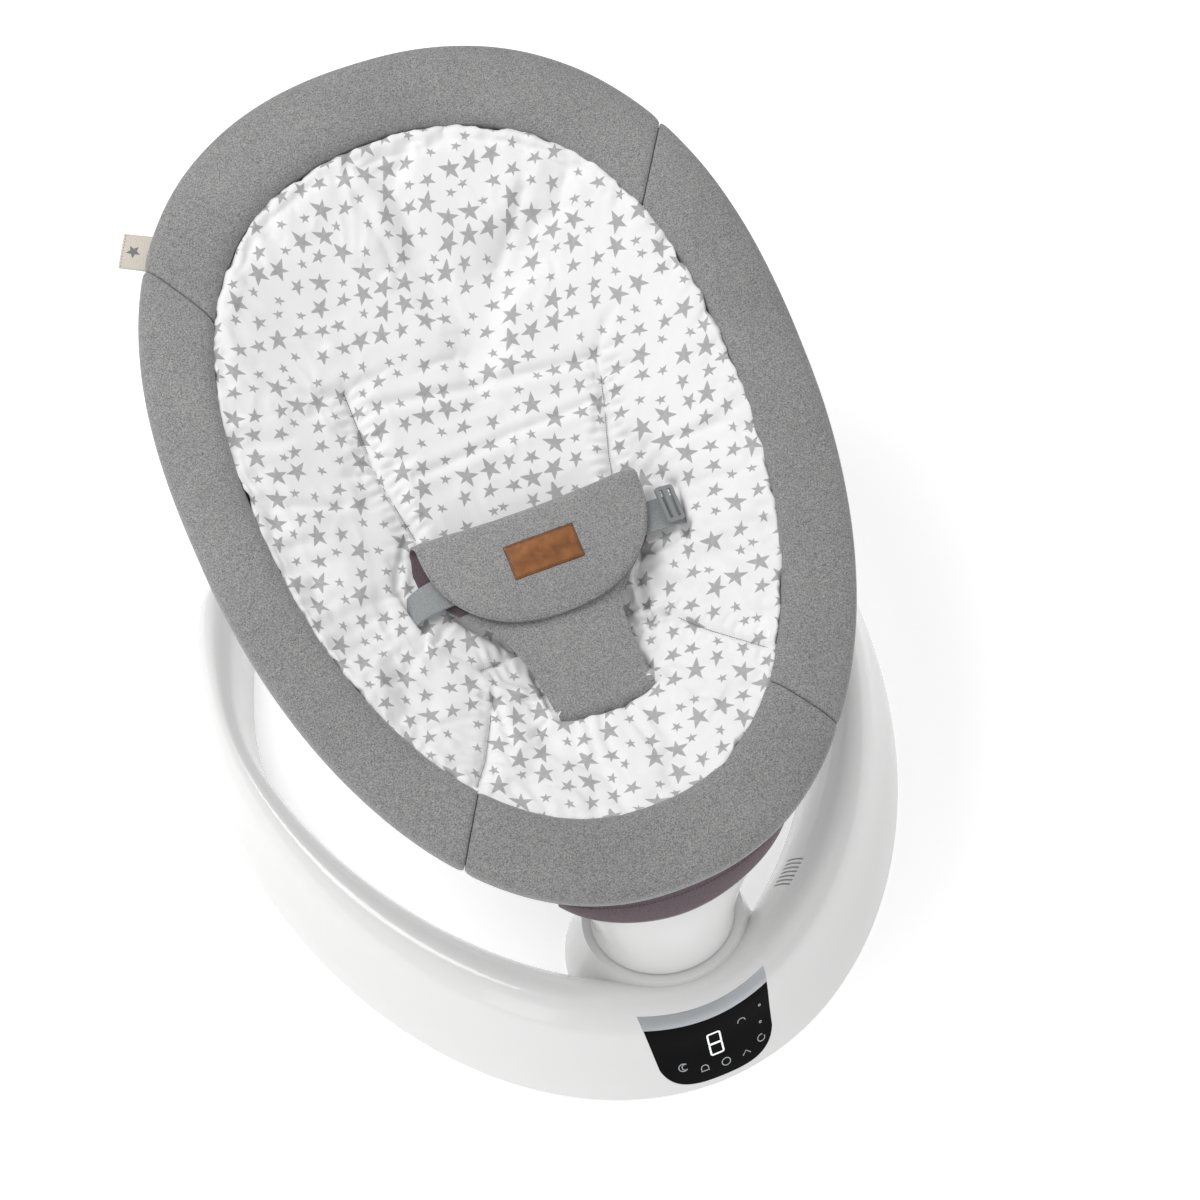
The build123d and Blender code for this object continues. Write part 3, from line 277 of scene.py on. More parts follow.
# %% Shared groups
def melange_group():
    group, given, result = new_group(
        "melange",
        [("Vector", "NodeSocketVector", None), ("Fibre", "NodeSocketFloat", 0.0011),
         ("Thread", "NodeSocketFloat", 0.0012), ("Contrast", "NodeSocketFloat", 1.0)],
        [("Speck", "NodeSocketFloat"), ("Weave", "NodeSocketFloat")],
    )
    at = given.outputs["Vector"]
    fine = noise_of(group, at, calc(group, "DIVIDE", 1.0, given.outputs["Fibre"]), 2.0, 0.7)
    broad = noise_of(group, at, calc(group, "DIVIDE", 0.28, given.outputs["Fibre"]), 2.0, 0.6)
    both = calc(group, "ADD", calc(group, "MULTIPLY", fine, 0.86), calc(group, "MULTIPLY", broad, 0.14))
    centred = calc(group, "MULTIPLY", calc(group, "SUBTRACT", both, 0.5), given.outputs["Contrast"])
    speck = calc(group, "ADD", calc(group, "MULTIPLY", centred, 3.2), 0.5, clamp=True)
    group.links.new(speck, result.inputs["Speck"])
    parts = group.nodes.new("ShaderNodeSeparateXYZ")
    group.links.new(vector_calc(group, "DIVIDE", at, given.outputs["Thread"]), parts.inputs[0])
    warp = calc(group, "ADD", parts.outputs[0], parts.outputs[2])
    weft = calc(group, "SUBTRACT", parts.outputs[1], parts.outputs[2])
    over = calc(group, "SINE", calc(group, "MULTIPLY", warp, pi))
    under = calc(group, "SINE", calc(group, "MULTIPLY", weft, pi))
    weave = calc(group, "MULTIPLY", over, under)
    group.links.new(calc(group, "ADD", calc(group, "MULTIPLY", weave, 0.5), fine), result.inputs["Weave"])
    return group


def uneven_group():
    group, given, result = new_group(
        "uneven",
        [("Vector", "NodeSocketVector", None), ("Size", "NodeSocketFloat", 0.05),
         ("Low", "NodeSocketFloat", 0.2), ("High", "NodeSocketFloat", 0.4)],
        [("Value", "NodeSocketFloat")],
    )
    scale = calc(group, "DIVIDE", 1.0, given.outputs["Size"])
    drift = noise_of(group, given.outputs["Vector"], scale, 3.0, 0.55)
    group.links.new(
        spread(group, drift, 0.3, 0.7, given.outputs["Low"], given.outputs["High"]), result.inputs["Value"]
    )
    return group


def stars_group():
    group, given, result = new_group(
        "stars",
        [("Vector", "NodeSocketVector", None), ("Brick", "NodeSocketFloat", 0.0190)],
        [("Mask", "NodeSocketFloat")],
    )
    parts = group.nodes.new("ShaderNodeSeparateXYZ")
    bricks = vector_calc(group, "DIVIDE", given.outputs["Vector"], given.outputs["Brick"])
    group.links.new(bricks, parts.inputs[0])
    across, along = parts.outputs[0], parts.outputs[1]
    row = calc(group, "FLOOR", along)
    shifted = calc(group, "ADD", across, calc(group, "MULTIPLY", row, 0.618))
    column = calc(group, "FLOOR", shifted)
    address = group.nodes.new("ShaderNodeCombineXYZ")
    plug(group, address.inputs[0], calc(group, "ADD", column, 0.5))
    plug(group, address.inputs[1], calc(group, "ADD", row, 0.5))
    dice = group.nodes.new("ShaderNodeTexWhiteNoise")
    dice.noise_dimensions = "3D"
    group.links.new(address.outputs[0], dice.inputs["Vector"])
    rolled = group.nodes.new("ShaderNodeSeparateXYZ")
    group.links.new(dice.outputs["Color"], rolled.inputs[0])
    chance, first, second = rolled.outputs[0], rolled.outputs[1], rolled.outputs[2]
    # three sizes: large, middle and small
    large = calc(group, "GREATER_THAN", chance, 0.66)
    small = calc(group, "LESS_THAN", chance, 0.36)
    reach = calc(group, "ADD", 0.40, calc(group, "MULTIPLY", large, 0.15))
    reach = calc(group, "SUBTRACT", reach, calc(group, "MULTIPLY", small, 0.13))
    room = calc(group, "SUBTRACT", 0.50, calc(group, "MULTIPLY", reach, 0.8))
    free = calc(group, "MULTIPLY", room, 2.0)

    def from_centre(place, roll):
        """How far a point is from its star's centre, which the roll moves within the brick."""
        moved = calc(group, "MULTIPLY", calc(group, "SUBTRACT", roll, 0.5), free)
        return calc(group, "SUBTRACT", calc(group, "SUBTRACT", calc(group, "FRACT", place), 0.5), moved)

    dx, dy = from_centre(shifted, first), from_centre(along, second)
    squares = calc(group, "ADD", calc(group, "MULTIPLY", dx, dx), calc(group, "MULTIPLY", dy, dy))
    radius = calc(group, "SQRT", squares)
    turned_by = calc(group, "MULTIPLY", dice.outputs["Value"], 2 * pi)
    angle = calc(group, "ADD", calc(group, "ARCTAN2", dy, dx), turned_by)
    # arms of one star aren't equally long
    arm = calc(group, "FLOOR", calc(group, "DIVIDE", calc(group, "ADD", angle, 4 * pi), 2 * pi / 5))
    uneven = calc(group, "MULTIPLY", calc(group, "SINE", calc(group, "MULTIPLY", arm, 2.4)), 0.13)
    reach = calc(group, "MULTIPLY", reach, calc(group, "SUBTRACT", 0.93, uneven))
    fold = calc(group, "MODULO", calc(group, "ADD", angle, 4 * pi), 2 * pi / 5)
    fold = calc(group, "ABSOLUTE", calc(group, "SUBTRACT", fold, pi / 5))
    inner = calc(group, "MULTIPLY", reach, 0.39)
    # edge of a star in polar form: the line from an arm's tip to the notch beside it
    tip_part = calc(group, "MULTIPLY", inner, calc(group, "SINE", calc(group, "SUBTRACT", pi / 5, fold)))
    notch_part = calc(group, "MULTIPLY", reach, calc(group, "SINE", fold))
    edge = calc(group, "DIVIDE", calc(group, "MULTIPLY", calc(group, "MULTIPLY", reach, inner), sin(pi / 5)),
                calc(group, "ADD", tip_part, notch_part))
    mask = spread(group, calc(group, "SUBTRACT", edge, radius), -0.012, 0.012, 0.0, 1.0)
    group.links.new(mask, result.inputs["Mask"])
    return group


melange, uneven, stars = melange_group(), uneven_group(), stars_group()
print("groups", melange.name, uneven.name, stars.name)

# %% [markdown]
# ## Finishes
# Fabric takes its specks and weave from the melange group and keeps a little sheen at grazing angles.
# Moulded white plastic is glossy with a thin coat, metals are brushed or cast, and every one has some drift
# in its gloss.

# %% Fabric finishes
def melange_cloth(name, light, dark, sheen=0.25, fibre=0.0011, contrast=1.0, depth=0.00025):
    material, tree, shader, at = shade(name, roughness=0.88, Sheen_Weight=sheen, Sheen_Roughness=0.45,
                                       Specular_IOR_Level=0.18)
    cloth = use_group(tree, melange, Vector=at, Fibre=fibre, Contrast=contrast)
    tone = use_group(tree, uneven, Vector=at, Size=0.09, Low=0.93, High=1.05)
    colour = mix_colour(tree, cloth.outputs["Speck"], dark, light)
    shaded = vector_calc(tree, "MULTIPLY", colour, tone.outputs["Value"])
    tree.links.new(shaded, shader.inputs["Base Color"])
    bump(tree, shader, cloth.outputs["Weave"], depth, 0.7)
    return material


ring_cloth = melange_cloth("ring_melange", (0.42, 0.42, 0.415, 1), (0.15, 0.15, 0.152, 1))
pad_cloth = melange_cloth("pad_melange", (0.45, 0.45, 0.445, 1), (0.17, 0.17, 0.172, 1))
sling_cloth = melange_cloth("sling_melange", (0.22, 0.22, 0.225, 1), (0.10, 0.10, 0.105, 1))
flap_cloth = melange_cloth("flap_plum", (0.17, 0.125, 0.142, 1), (0.085, 0.062, 0.073, 1), contrast=0.6)
piping_cloth = melange_cloth("piping_dark", (0.12, 0.11, 0.12, 1), (0.05, 0.045, 0.05, 1), contrast=0.5)


def star_cotton():
    """White cotton with a grey star print, laid out by the piece's own print map."""
    material, tree, shader, at = shade("star_cotton", roughness=0.82, Sheen_Weight=0.15,
                                       Specular_IOR_Level=0.2)
    layout = tree.nodes.new("ShaderNodeUVMap")
    layout.uv_map = "print"
    drawn = use_group(tree, stars, Vector=layout.outputs["UV"])
    ink = use_group(tree, uneven, Vector=at, Size=0.004, Low=0.42, High=0.5)
    paper = use_group(tree, uneven, Vector=at, Size=0.06, Low=0.9, High=0.94)
    colour = mix_colour(tree, drawn.outputs["Mask"], paper.outputs["Value"], ink.outputs["Value"])
    tree.links.new(colour, shader.inputs["Base Color"])
    cloth = use_group(tree, melange, Vector=at, Thread=0.0007, Fibre=0.0006)
    bump(tree, shader, cloth.outputs["Weave"], 0.0001, 0.5)
    return material


def plain_cotton():
    material, tree, shader, at = shade("white_cotton", roughness=0.85, Sheen_Weight=0.2)
    paper = use_group(tree, uneven, Vector=at, Size=0.02, Low=0.78, High=0.86)
    colour = mix_colour(tree, paper.outputs["Value"], (0.6, 0.6, 0.6, 1), (0.9, 0.9, 0.89, 1))
    tree.links.new(colour, shader.inputs["Base Color"])
    cloth = use_group(tree, melange, Vector=at, Thread=0.0007, Fibre=0.0006)
    bump(tree, shader, cloth.outputs["Weave"], 0.0001, 0.5)
    return material


def webbing_cloth():
    """Narrow ribbed tape: ribs run along the strap."""
    material, tree, shader, at = shade("webbing_tape", roughness=0.75, Sheen_Weight=0.3,
                                       Specular_IOR_Level=0.25)
    cloth = use_group(tree, melange, Vector=at, Thread=0.0011, Fibre=0.0008, Contrast=0.7)
    parts = tree.nodes.new("ShaderNodeSeparateXYZ")
    tree.links.new(at, parts.inputs[0])
    rib = calc(tree, "SINE", calc(tree, "MULTIPLY", parts.outputs[1], 2 * pi / 0.0016))
    colour = mix_colour(tree, cloth.outputs["Speck"], (0.24, 0.255, 0.265, 1), (0.43, 0.45, 0.46, 1))
    tree.links.new(colour, shader.inputs["Base Color"])
    bump(tree, shader, calc(tree, "ADD", rib, cloth.outputs["Weave"]), 0.0003, 0.7)
    return material


def leather():
    """Tanned leather: pores, a darker burnished edge comes from the piece's own edge attribute."""
    material, tree, shader, at = shade("tan_leather", roughness=0.42, Coat_Weight=0.15, Coat_Roughness=0.3)
    pores = tree.nodes.new("ShaderNodeTexVoronoi")
    pores.inputs["Scale"].default_value = 900
    tree.links.new(at, pores.inputs["Vector"])
    drift = use_group(tree, uneven, Vector=at, Size=0.012, Low=0.0, High=1.0)
    colour = mix_colour(tree, drift.outputs["Value"], (0.17, 0.052, 0.010, 1), (0.36, 0.14, 0.035, 1))
    burn = tree.nodes.new("ShaderNodeAttribute")
    burn.attribute_name = "rim"
    colour = mix_colour(tree, burn.outputs["Fac"], colour, (0.09, 0.028, 0.008, 1))
    tree.links.new(colour, shader.inputs["Base Color"])
    bump(tree, shader, pores.outputs["Distance"], 0.0002, 0.5)
    return material


star_print, white_cotton = star_cotton(), plain_cotton()
tape, tan_leather = webbing_cloth(), leather()
tag_cloth = melange_cloth("tag_twill", (0.74, 0.70, 0.62, 1), (0.58, 0.54, 0.46, 1), contrast=0.5)
tag_ink = melange_cloth("tag_ink", (0.25, 0.25, 0.25, 1), (0.18, 0.18, 0.18, 1), contrast=0.5)
thread_grey = melange_cloth("thread_grey", (0.26, 0.26, 0.26, 1), (0.18, 0.18, 0.18, 1), fibre=0.0005)
thread_tan = melange_cloth("thread_tan", (0.22, 0.10, 0.04, 1), (0.13, 0.055, 0.02, 1), fibre=0.0005)

# %% [markdown]
# ## Hard finishes
# Each material slot of the record has one finish, and every CAD node gets the finish of its slot. The nodes
# that fabric pieces replace get one too, but they don't show.

# %% Hard finishes
def moulded(name, colour, roughness=(0.12, 0.2), coat=0.35, grain=0.0, specular=0.5):
    """Injection-moulded plastic, glossy or grained."""
    material, tree, shader, at = shade(name, Coat_Weight=coat, Coat_Roughness=0.08,
                                       Specular_IOR_Level=specular)
    drift = use_group(tree, uneven, Vector=at, Size=0.07, Low=roughness[0], High=roughness[1])
    tree.links.new(drift.outputs["Value"], shader.inputs["Roughness"])
    tone = use_group(tree, uneven, Vector=at, Size=0.2, Low=0.985, High=1.0)
    base = tree.nodes.new("ShaderNodeRGB")
    base.outputs[0].default_value = colour
    toned = vector_calc(tree, "MULTIPLY", base.outputs[0], tone.outputs["Value"])
    tree.links.new(toned, shader.inputs["Base Color"])
    if grain:
        bump(tree, shader, noise_of(tree, at, 1 / grain, 2.0, 0.6), grain * 0.12, 0.6)
    return material


def metal(name, colour, roughness=(0.25, 0.4), streak=(1, 1, 1), depth=0.00005):
    """Bare metal: brushed when the streak stretches the noise, cast when it doesn't."""
    material, tree, shader, at = shade(name, metallic=1.0)
    stretched = vector_calc(tree, "MULTIPLY", at, streak)
    fine = noise_of(tree, stretched, 900, 2.0, 0.6)
    drift = use_group(tree, uneven, Vector=at, Size=0.02, Low=roughness[0], High=roughness[1])
    tree.links.new(drift.outputs["Value"], shader.inputs["Roughness"])
    dark = tuple(v * 0.8 for v in colour[:3]) + (1,)
    tree.links.new(mix_colour(tree, fine, dark, colour), shader.inputs["Base Color"])
    bump(tree, shader, fine, depth, 0.6)
    return material


finishes = {
    "shell_white": moulded("gloss_white", (0.86, 0.86, 0.855, 1)),
    "tray_grey": moulded("tray_grey", (0.30, 0.30, 0.31, 1), (0.45, 0.6), 0.0, 0.0012),
    "foot_rubber": moulded("foot_rubber", (0.03, 0.03, 0.032, 1), (0.75, 0.9), 0.0, 0.0008),
    "zinc_steel": metal("zinc_steel", (0.55, 0.56, 0.58, 1), streak=(1, 1, 0.1)),
    "bronze": metal("bronze", (0.62, 0.40, 0.20, 1), (0.3, 0.45)),
    "casting": metal("casting", (0.45, 0.46, 0.47, 1), (0.5, 0.65), depth=0.0003),
    "nylon": moulded("nylon", (0.74, 0.72, 0.66, 1), (0.4, 0.5), 0.0),
    "inner_plastic": moulded("inner_plastic", (0.03, 0.03, 0.032, 1), (0.5, 0.65), 0.0, 0.001),
    "board_green": moulded("board_green", (0.015, 0.11, 0.045, 1), (0.3, 0.4), 0.2),
    "panel_black": moulded("panel_black", (0.003, 0.003, 0.003, 1), (0.12, 0.18), 0.0, specular=0.06),
    "trim_silver": metal("trim_silver", (0.62, 0.65, 0.68, 1), (0.34, 0.42), streak=(0.05, 1, 1)),
    "tube_paint": moulded("tube_paint", (0.35, 0.36, 0.38, 1), (0.4, 0.5), 0.1),
    "slider_plastic": moulded("slider_plastic", (0.27, 0.28, 0.285, 1), (0.4, 0.5), 0.0, 0.0006),
}
slot_of = {part["node"]: part["material_slot"] for part in frame["record"]["subparts"]}
for name, piece in frame["nodes"].items():
    piece.data.materials.clear()
    piece.data.materials.append(finishes.get(slot_of[name], white_cotton))
print("finishes", len(finishes))

# %% [markdown]
# ## The padded ring
# The ring is a foam band in four fabric panels over a tube. Each panel could be swept along the ring, but the
# seams slant, so a panel is laid as rows of closed sections instead: each row runs from a point on the inner
# egg to a point on the outer egg, and the two ends of a row may stand at different angles. Near a seam the
# section draws in, as sewn foam does.

# %% Ring panels
squareness, swell = 2.27, 0.11
inner_low, inner_high = span("seat_cushion")
inner_length = inner_high[1] - inner_low[1] + 0.004
# the widest place of an egg lies above its middle, so its box is a little wider than its nominal width
bulge = max(sin(radians(a)) ** (2 / squareness) * (1 + swell * cos(radians(a))) for a in range(60, 91))
inner_width = (inner_high[0] - inner_low[0] + 0.004) / bulge
egg_width = ring_width / bulge
inner_shift = -0.0015
# degrees from the head: on the inner egg, on the outer egg
head_seam, left_seam, foot_seam = (58.9, 53.4), (53.2, 49.4), (141.4, 141.2)
fuller = 0.036  # the left half reaches a little further over the ring's inner edge
MM = 0.001


def egg_point(degrees, length, width, shift=0.0):
    """Point on an egg in the ring's plane; 0 degrees is the head, 90 the right side."""
    power = 2 / squareness
    c, s = cos(radians(degrees)), sin(radians(degrees))
    along = np.sign(c) * abs(c) ** power
    across = np.sign(s) * abs(s) ** power
    return np.array((width / 2 * across * (1 + swell * c), shift + length / 2 * along))


def ring_row(inner_angle, outer_angle, draw, sides=36):
    """Closed section of the band; draw is how far it pulls in at a seam."""
    inside = egg_point(inner_angle, inner_length, inner_width, inner_shift)
    inside[0] *= 1 + fuller * (inside[0] < 0)
    outside = egg_point(outer_angle, ring_length, egg_width)
    middle, half = (inside + outside) / 2, (outside - inside) / 2
    reach = 1 - draw / np.linalg.norm(half)
    points = []
    for step in range(sides):
        angle = 2 * pi * step / sides
        c, s = cos(angle), sin(angle)
        across = np.sign(c) * abs(c) ** (2 / 2.9) * reach
        lift = np.sign(s) * abs(s) ** (2 / 2.9) * (ring_thick / 2 - draw)
        flat = middle + half * across
        points.append((flat[0], flat[1], lift))
    return points


def ring_panel(name, start, end, length):
    """Panel between two seams, given as (inner, outer) angles; length is its run along the band."""
    pinched = [(0.0, 6.0), (0.4, 2.2), (1.0, 1.5), (2.0, 0.9), (3.6, 0.45), (6.0, 0.1)]  # run and draw, mm
    edge = [run * MM / length for run, draw in pinched]
    middle = list(np.linspace(edge[-1], 1 - edge[-1], int(length / (4 * MM)))[1:-1])
    shares = edge + middle + [1 - e for e in reversed(edge)]
    draws = [draw * MM for run, draw in pinched]
    draws = draws + [0.0] * len(middle) + draws[::-1]
    points = []
    for share, draw in zip(shares, draws):
        inner = start[0] + (end[0] - start[0]) * share
        outer = start[1] + (end[1] - start[1]) * share
        points += ring_row(inner, outer, draw)
    rows, sides = len(shares), len(points) // len(shares)
    faces = grid_faces(rows, sides, close_columns=True)
    faces.append(tuple(range(sides)))
    faces.append(tuple(range(rows * sides - 1, (rows - 1) * sides - 1, -1)))
    points = np.array(points)
    for k, p in enumerate(points):
        points[k, 2] += 0.5 * MM * noise.noise(Vector(p) * 22)
    piece = make_piece(name, to_world(points), faces, ring_cloth)
    face_outwards(piece)
    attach(piece, "seat")
    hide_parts(name.replace("panel", "cover"))
    return piece


def other_side(seam):
    return 360 - seam[0], 360 - seam[1]


def before_head(seam):
    return seam[0] - 360, seam[1] - 360


ring_panel("ring_panel_right", head_seam, foot_seam, 0.43)
ring_panel("ring_panel_foot", foot_seam, other_side(foot_seam), 0.31)
ring_panel("ring_panel_left", other_side(foot_seam), other_side(left_seam), 0.43)
ring_panel("ring_panel_head", before_head(other_side(left_seam)), head_seam, 0.48)
print("ring panels from", round(inner_width, 3), "to", round(ring_width, 3), "wide")

# %% [markdown]
# ## Stitches
# Sewing repeats one short stitch along a line, so Geometry Nodes makes it: the line becomes a curve, the
# curve gives evenly spaced points, and each point gets a small rounded stitch turned along it. The same
# tree sews the flap, the leather, the tag and the hem, with other sizes.

# %% Stitch tree
def stitch_tree():
    tree = bpy.data.node_groups.new("stitch_row", "GeometryNodeTree")
    tree.is_modifier = True
    face = tree.interface
    face.new_socket("Geometry", in_out="INPUT", socket_type="NodeSocketGeometry")
    sizes = {}
    for label, default in (("Spacing", 0.0032), ("Length", 0.0024), ("Thickness", 0.0007)):
        sizes[label] = face.new_socket(label, in_out="INPUT", socket_type="NodeSocketFloat")
        sizes[label].default_value = default
    sizes["Thread"] = face.new_socket("Thread", in_out="INPUT", socket_type="NodeSocketMaterial")
    face.new_socket("Geometry", in_out="OUTPUT", socket_type="NodeSocketGeometry")
    given, result = tree.nodes.new("NodeGroupInput"), tree.nodes.new("NodeGroupOutput")
    line = tree.nodes.new("GeometryNodeMeshToCurve")
    evenly = tree.nodes.new("GeometryNodeResampleCurve")
    evenly.mode = "LENGTH"
    ball = tree.nodes.new("GeometryNodeMeshUVSphere")
    ball.inputs["Segments"].default_value = 6
    ball.inputs["Rings"].default_value = 4
    ball.inputs["Radius"].default_value = 0.5
    size = tree.nodes.new("ShaderNodeCombineXYZ")
    stretched = tree.nodes.new("GeometryNodeTransform")
    heading = tree.nodes.new("GeometryNodeInputTangent")
    turned_to = tree.nodes.new("FunctionNodeAlignRotationToVector")
    turned_to.axis = "X"
    placed = tree.nodes.new("GeometryNodeInstanceOnPoints")
    real = tree.nodes.new("GeometryNodeRealizeInstances")
    coloured = tree.nodes.new("GeometryNodeSetMaterial")
    join = tree.links.new
    join(given.outputs["Geometry"], line.inputs["Mesh"])
    join(line.outputs["Curve"], evenly.inputs["Curve"])
    join(given.outputs["Spacing"], evenly.inputs["Length"])
    join(given.outputs["Length"], size.inputs[0])
    join(given.outputs["Thickness"], size.inputs[1])
    join(given.outputs["Thickness"], size.inputs[2])
    join(ball.outputs["Mesh"], stretched.inputs["Geometry"])
    join(size.outputs[0], stretched.inputs["Scale"])
    join(heading.outputs["Tangent"], turned_to.inputs["Vector"])
    join(evenly.outputs["Curve"], placed.inputs["Points"])
    join(stretched.outputs["Geometry"], placed.inputs["Instance"])
    join(turned_to.outputs["Rotation"], placed.inputs["Rotation"])
    join(placed.outputs["Instances"], real.inputs["Geometry"])
    join(real.outputs["Geometry"], coloured.inputs["Geometry"])
    join(given.outputs["Thread"], coloured.inputs["Material"])
    join(coloured.outputs["Geometry"], result.inputs["Geometry"])
    return tree, {label: socket.identifier for label, socket in sizes.items()}


stitch_row, stitch_inputs = stitch_tree()


def sew(name, paths, thread, body, spacing=0.0032, length=0.0024, thickness=0.0007):
    """Rows of stitches along paths, each a list of points in the swing's frame; returns the piece."""
    points, edges = [], []
    for path in paths:
        first = len(points)
        points += [tuple(p) for p in path]
        edges += [(k, k + 1) for k in range(first, len(points) - 1)]
    mesh = bpy.data.meshes.new(name)
    mesh.from_pydata(points, edges, [])
    piece = bpy.data.objects.new(name, mesh)
    bpy.context.scene.collection.objects.link(piece)
    modifier = piece.modifiers.new("stitches", "NODES")
    modifier.node_group = stitch_row
    given = {"Spacing": spacing, "Length": length, "Thickness": thickness, "Thread": thread}
    for label, value in given.items():
        modifier[stitch_inputs[label]] = value
    applied(piece)
    piece.data.polygons.foreach_set("use_smooth", [True] * len(piece.data.polygons))
    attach(piece, body)
    print(name, len(piece.data.polygons), "faces")
    return piece


# %% [markdown]
# ## The cushion's shape
# The liner is a quilted cotton bowl. Eggs shrink and slide towards the foot as they go down, which makes a
# deep seat and a long sloping back. The same rule gives a height for any point of the face, so that seams,
# straps and the print can all be laid on it.

# %% Bowl
seat_depth, rim_drop = 79 * MM, 2.5 * MM
face_length, face_width = inner_length - 16 * MM, inner_width - 16 * MM


def bowl_row(share, length, width, top, depth, count):
    """Closed row of a bowl: share 0 is its rim and 1 its lowest point."""
    scale = (1 - share) ** 0.6
    shift = (-3 - 60 * share**2.5) * MM
    rows = []
    for step in range(count):
        x, y = egg_point(360 * step / count, length * scale, width * scale, shift)
        rows.append((x * (1 + fuller * (x < 0)), y, top - depth * share))
    return rows


def face_share(x, y):
    """How deep the cushion's face lies at points of the ring's plane: 0 at the rim, 1 at the bottom."""
    x = np.where(x < 0, x / (1 + fuller), x)
    low, high = np.zeros_like(x), np.full_like(x, 0.995)
    for _ in range(22):
        share = (low + high) / 2
        scale = (1 - share) ** 0.6
        shift = (-3 - 60 * share**2.5) * MM
        along = np.clip((y - shift) / (face_length / 2 * scale), -1.2, 1.2)
        angle_cos = np.sign(along) * np.abs(np.clip(along, -1, 1)) ** (squareness / 2)
        across = x / (face_width / 2 * scale * (1 + swell * angle_cos))
        inside = np.abs(along) ** squareness + np.abs(across) ** squareness < 1
        low, high = np.where(inside, share, low), np.where(inside, high, share)
    return (low + high) / 2


def face_height(x, y):
    return -rim_drop - seat_depth * face_share(np.asarray(x, float), np.asarray(y, float))


print("face at the seat's middle", round(float(face_height(0.0, -0.06)), 4))

# %% [markdown]
# ## Filling it
# Padding looks right when cloth really pulls against its stuffing. The shell is remeshed evenly, its
# underside and its seam lines are pinned, and a Cloth simulation with pressure and a slightly oversized
# fabric lets the face swell and gather between them. Nothing may travel further than the cap.

# %% Cushion by cloth simulation
def line_distance(x, y, line):
    """Distance of points from a line of points, all in the ring's plane, and how far along it they are."""
    best, along = np.full(x.shape, 9.0), np.zeros(x.shape)
    start = 0.0
    for (ax, ay), (bx, by) in zip(line[:-1], line[1:]):
        ax, ay, bx, by = (v * MM for v in (ax, ay, bx, by))
        length = ((bx - ax) ** 2 + (by - ay) ** 2) ** 0.5
        share = np.clip(((x - ax) * (bx - ax) + (y - ay) * (by - ay)) / length**2, 0, 1)
        away = np.hypot(x - ax - share * (bx - ax), y - ay - share * (by - ay))
        nearer = away < best
        best = np.where(nearer, away, best)
        along = np.where(nearer, start + share * length, along)
        start += length
    return best, along


sewn_lines = [
    [(108, 77), (98, 36), (86, -4), (81, -26)],
    [(-95, 111), (-94, 40), (-87, 0), (-84, -16)],
    [(75, -145), (98, -176), (132, -214)],
    [(-76, -159), (-88, -182), (-104, -211), (-118, -229)],
    [(-76, -136), (-41, -132)],
    [(47, -133), (71, -130)],
    [(43, -172), (50, -192)],
]
slits = [[(-114, -60), (-107, -93)], [(120, -52), (114, -91)], [(-40, -197), (14, -203), (48, -195)]]


def swollen(piece, pinned, pressure, looser, cap):
    """Runs the cloth and returns how far each point moved, no further than cap."""
    group = piece.vertex_groups.new(name="sewn")
    for index in np.nonzero(pinned > 0.01)[0]:
        group.add([int(index)], float(pinned[index]), "REPLACE")
    cloth = piece.modifiers.new("cloth", "CLOTH")
    settings = cloth.settings
    settings.quality = 5
    settings.mass = 0.25
    settings.tension_stiffness = settings.compression_stiffness = 12
    settings.shear_stiffness = 6
    settings.bending_stiffness = 0.35
    settings.use_pressure = True
    settings.uniform_pressure_force = pressure
    settings.shrink_min = settings.shrink_max = -looser
    settings.vertex_group_mass = "sewn"
    settings.pin_stiffness = 1.0
    settings.effector_weights.gravity = 0
    cloth.collision_settings.use_collision = False
    cloth.point_cache.frame_start, cloth.point_cache.frame_end = 1, 20
    before = np.array([v.co for v in piece.data.vertices])
    for number in range(1, 21):
        bpy.context.scene.frame_set(number)
    applied(piece)
    bpy.context.scene.frame_set(1)
    after = np.array([v.co for v in piece.data.vertices])
    moved = after - before
    far = np.linalg.norm(moved, axis=1)
    moved *= (np.minimum(far, cap) / np.maximum(far, 1e-9))[:, None]
    piece.data.vertices.foreach_set("co", (before + moved).ravel())
    piece.data.update()
    return moved


shares = [0.0, 0.03, 0.08, 0.16, 0.26, 0.38, 0.5, 0.62, 0.74, 0.84, 0.92, 0.97, 0.995]
around = 120
under_length, under_width = inner_length - 6 * MM, inner_width - 6 * MM
rows = [bowl_row(s, under_length, under_width, -9 * MM, 85 * MM, around) for s in reversed(shares)]
# the rim rolls over the ring's inner edge: how far out each row lies, and how high, in mm
for out_by, height in ((5, -1.5), (2, 5.5), (-5, 5.5)):
    rim_row = bowl_row(0, inner_length + out_by * MM, inner_width + out_by * MM, 0, 0, around)
    rows.append([(x, y, height * MM) for x, y, z in rim_row])
rows += [bowl_row(s, face_length, face_width, -rim_drop, seat_depth - 1.5 * MM, around) for s in shares]
shell = [p for row in rows for p in row]
faces = grid_faces(len(rows), around, close_columns=True)
faces.append(tuple(range(around)))
faces.append(tuple(range(len(shell) - 1, len(shell) - around - 1, -1)))
cushion = make_piece("seat_cushion_padded", shell, faces, star_print)
face_outwards(cushion)
remesh = cushion.modifiers.new("even", "REMESH")
remesh.mode = "VOXEL"
remesh.voxel_size = 4.2 * MM
applied(cushion)
place_now = np.array([v.co for v in cushion.data.vertices])
x, y, z = place_now.T
height_above = z - face_height(x, y)
upper = (height_above > -4 * MM) | (z > -4 * MM)
pinned = np.where(upper, 0.0, 1.0)
for line in sewn_lines + slits:
    away, along = line_distance(x, y, line)
    pinned = np.maximum(pinned, np.where(upper, np.clip(1.4 - away / (4.6 * MM), 0, 1), 0))
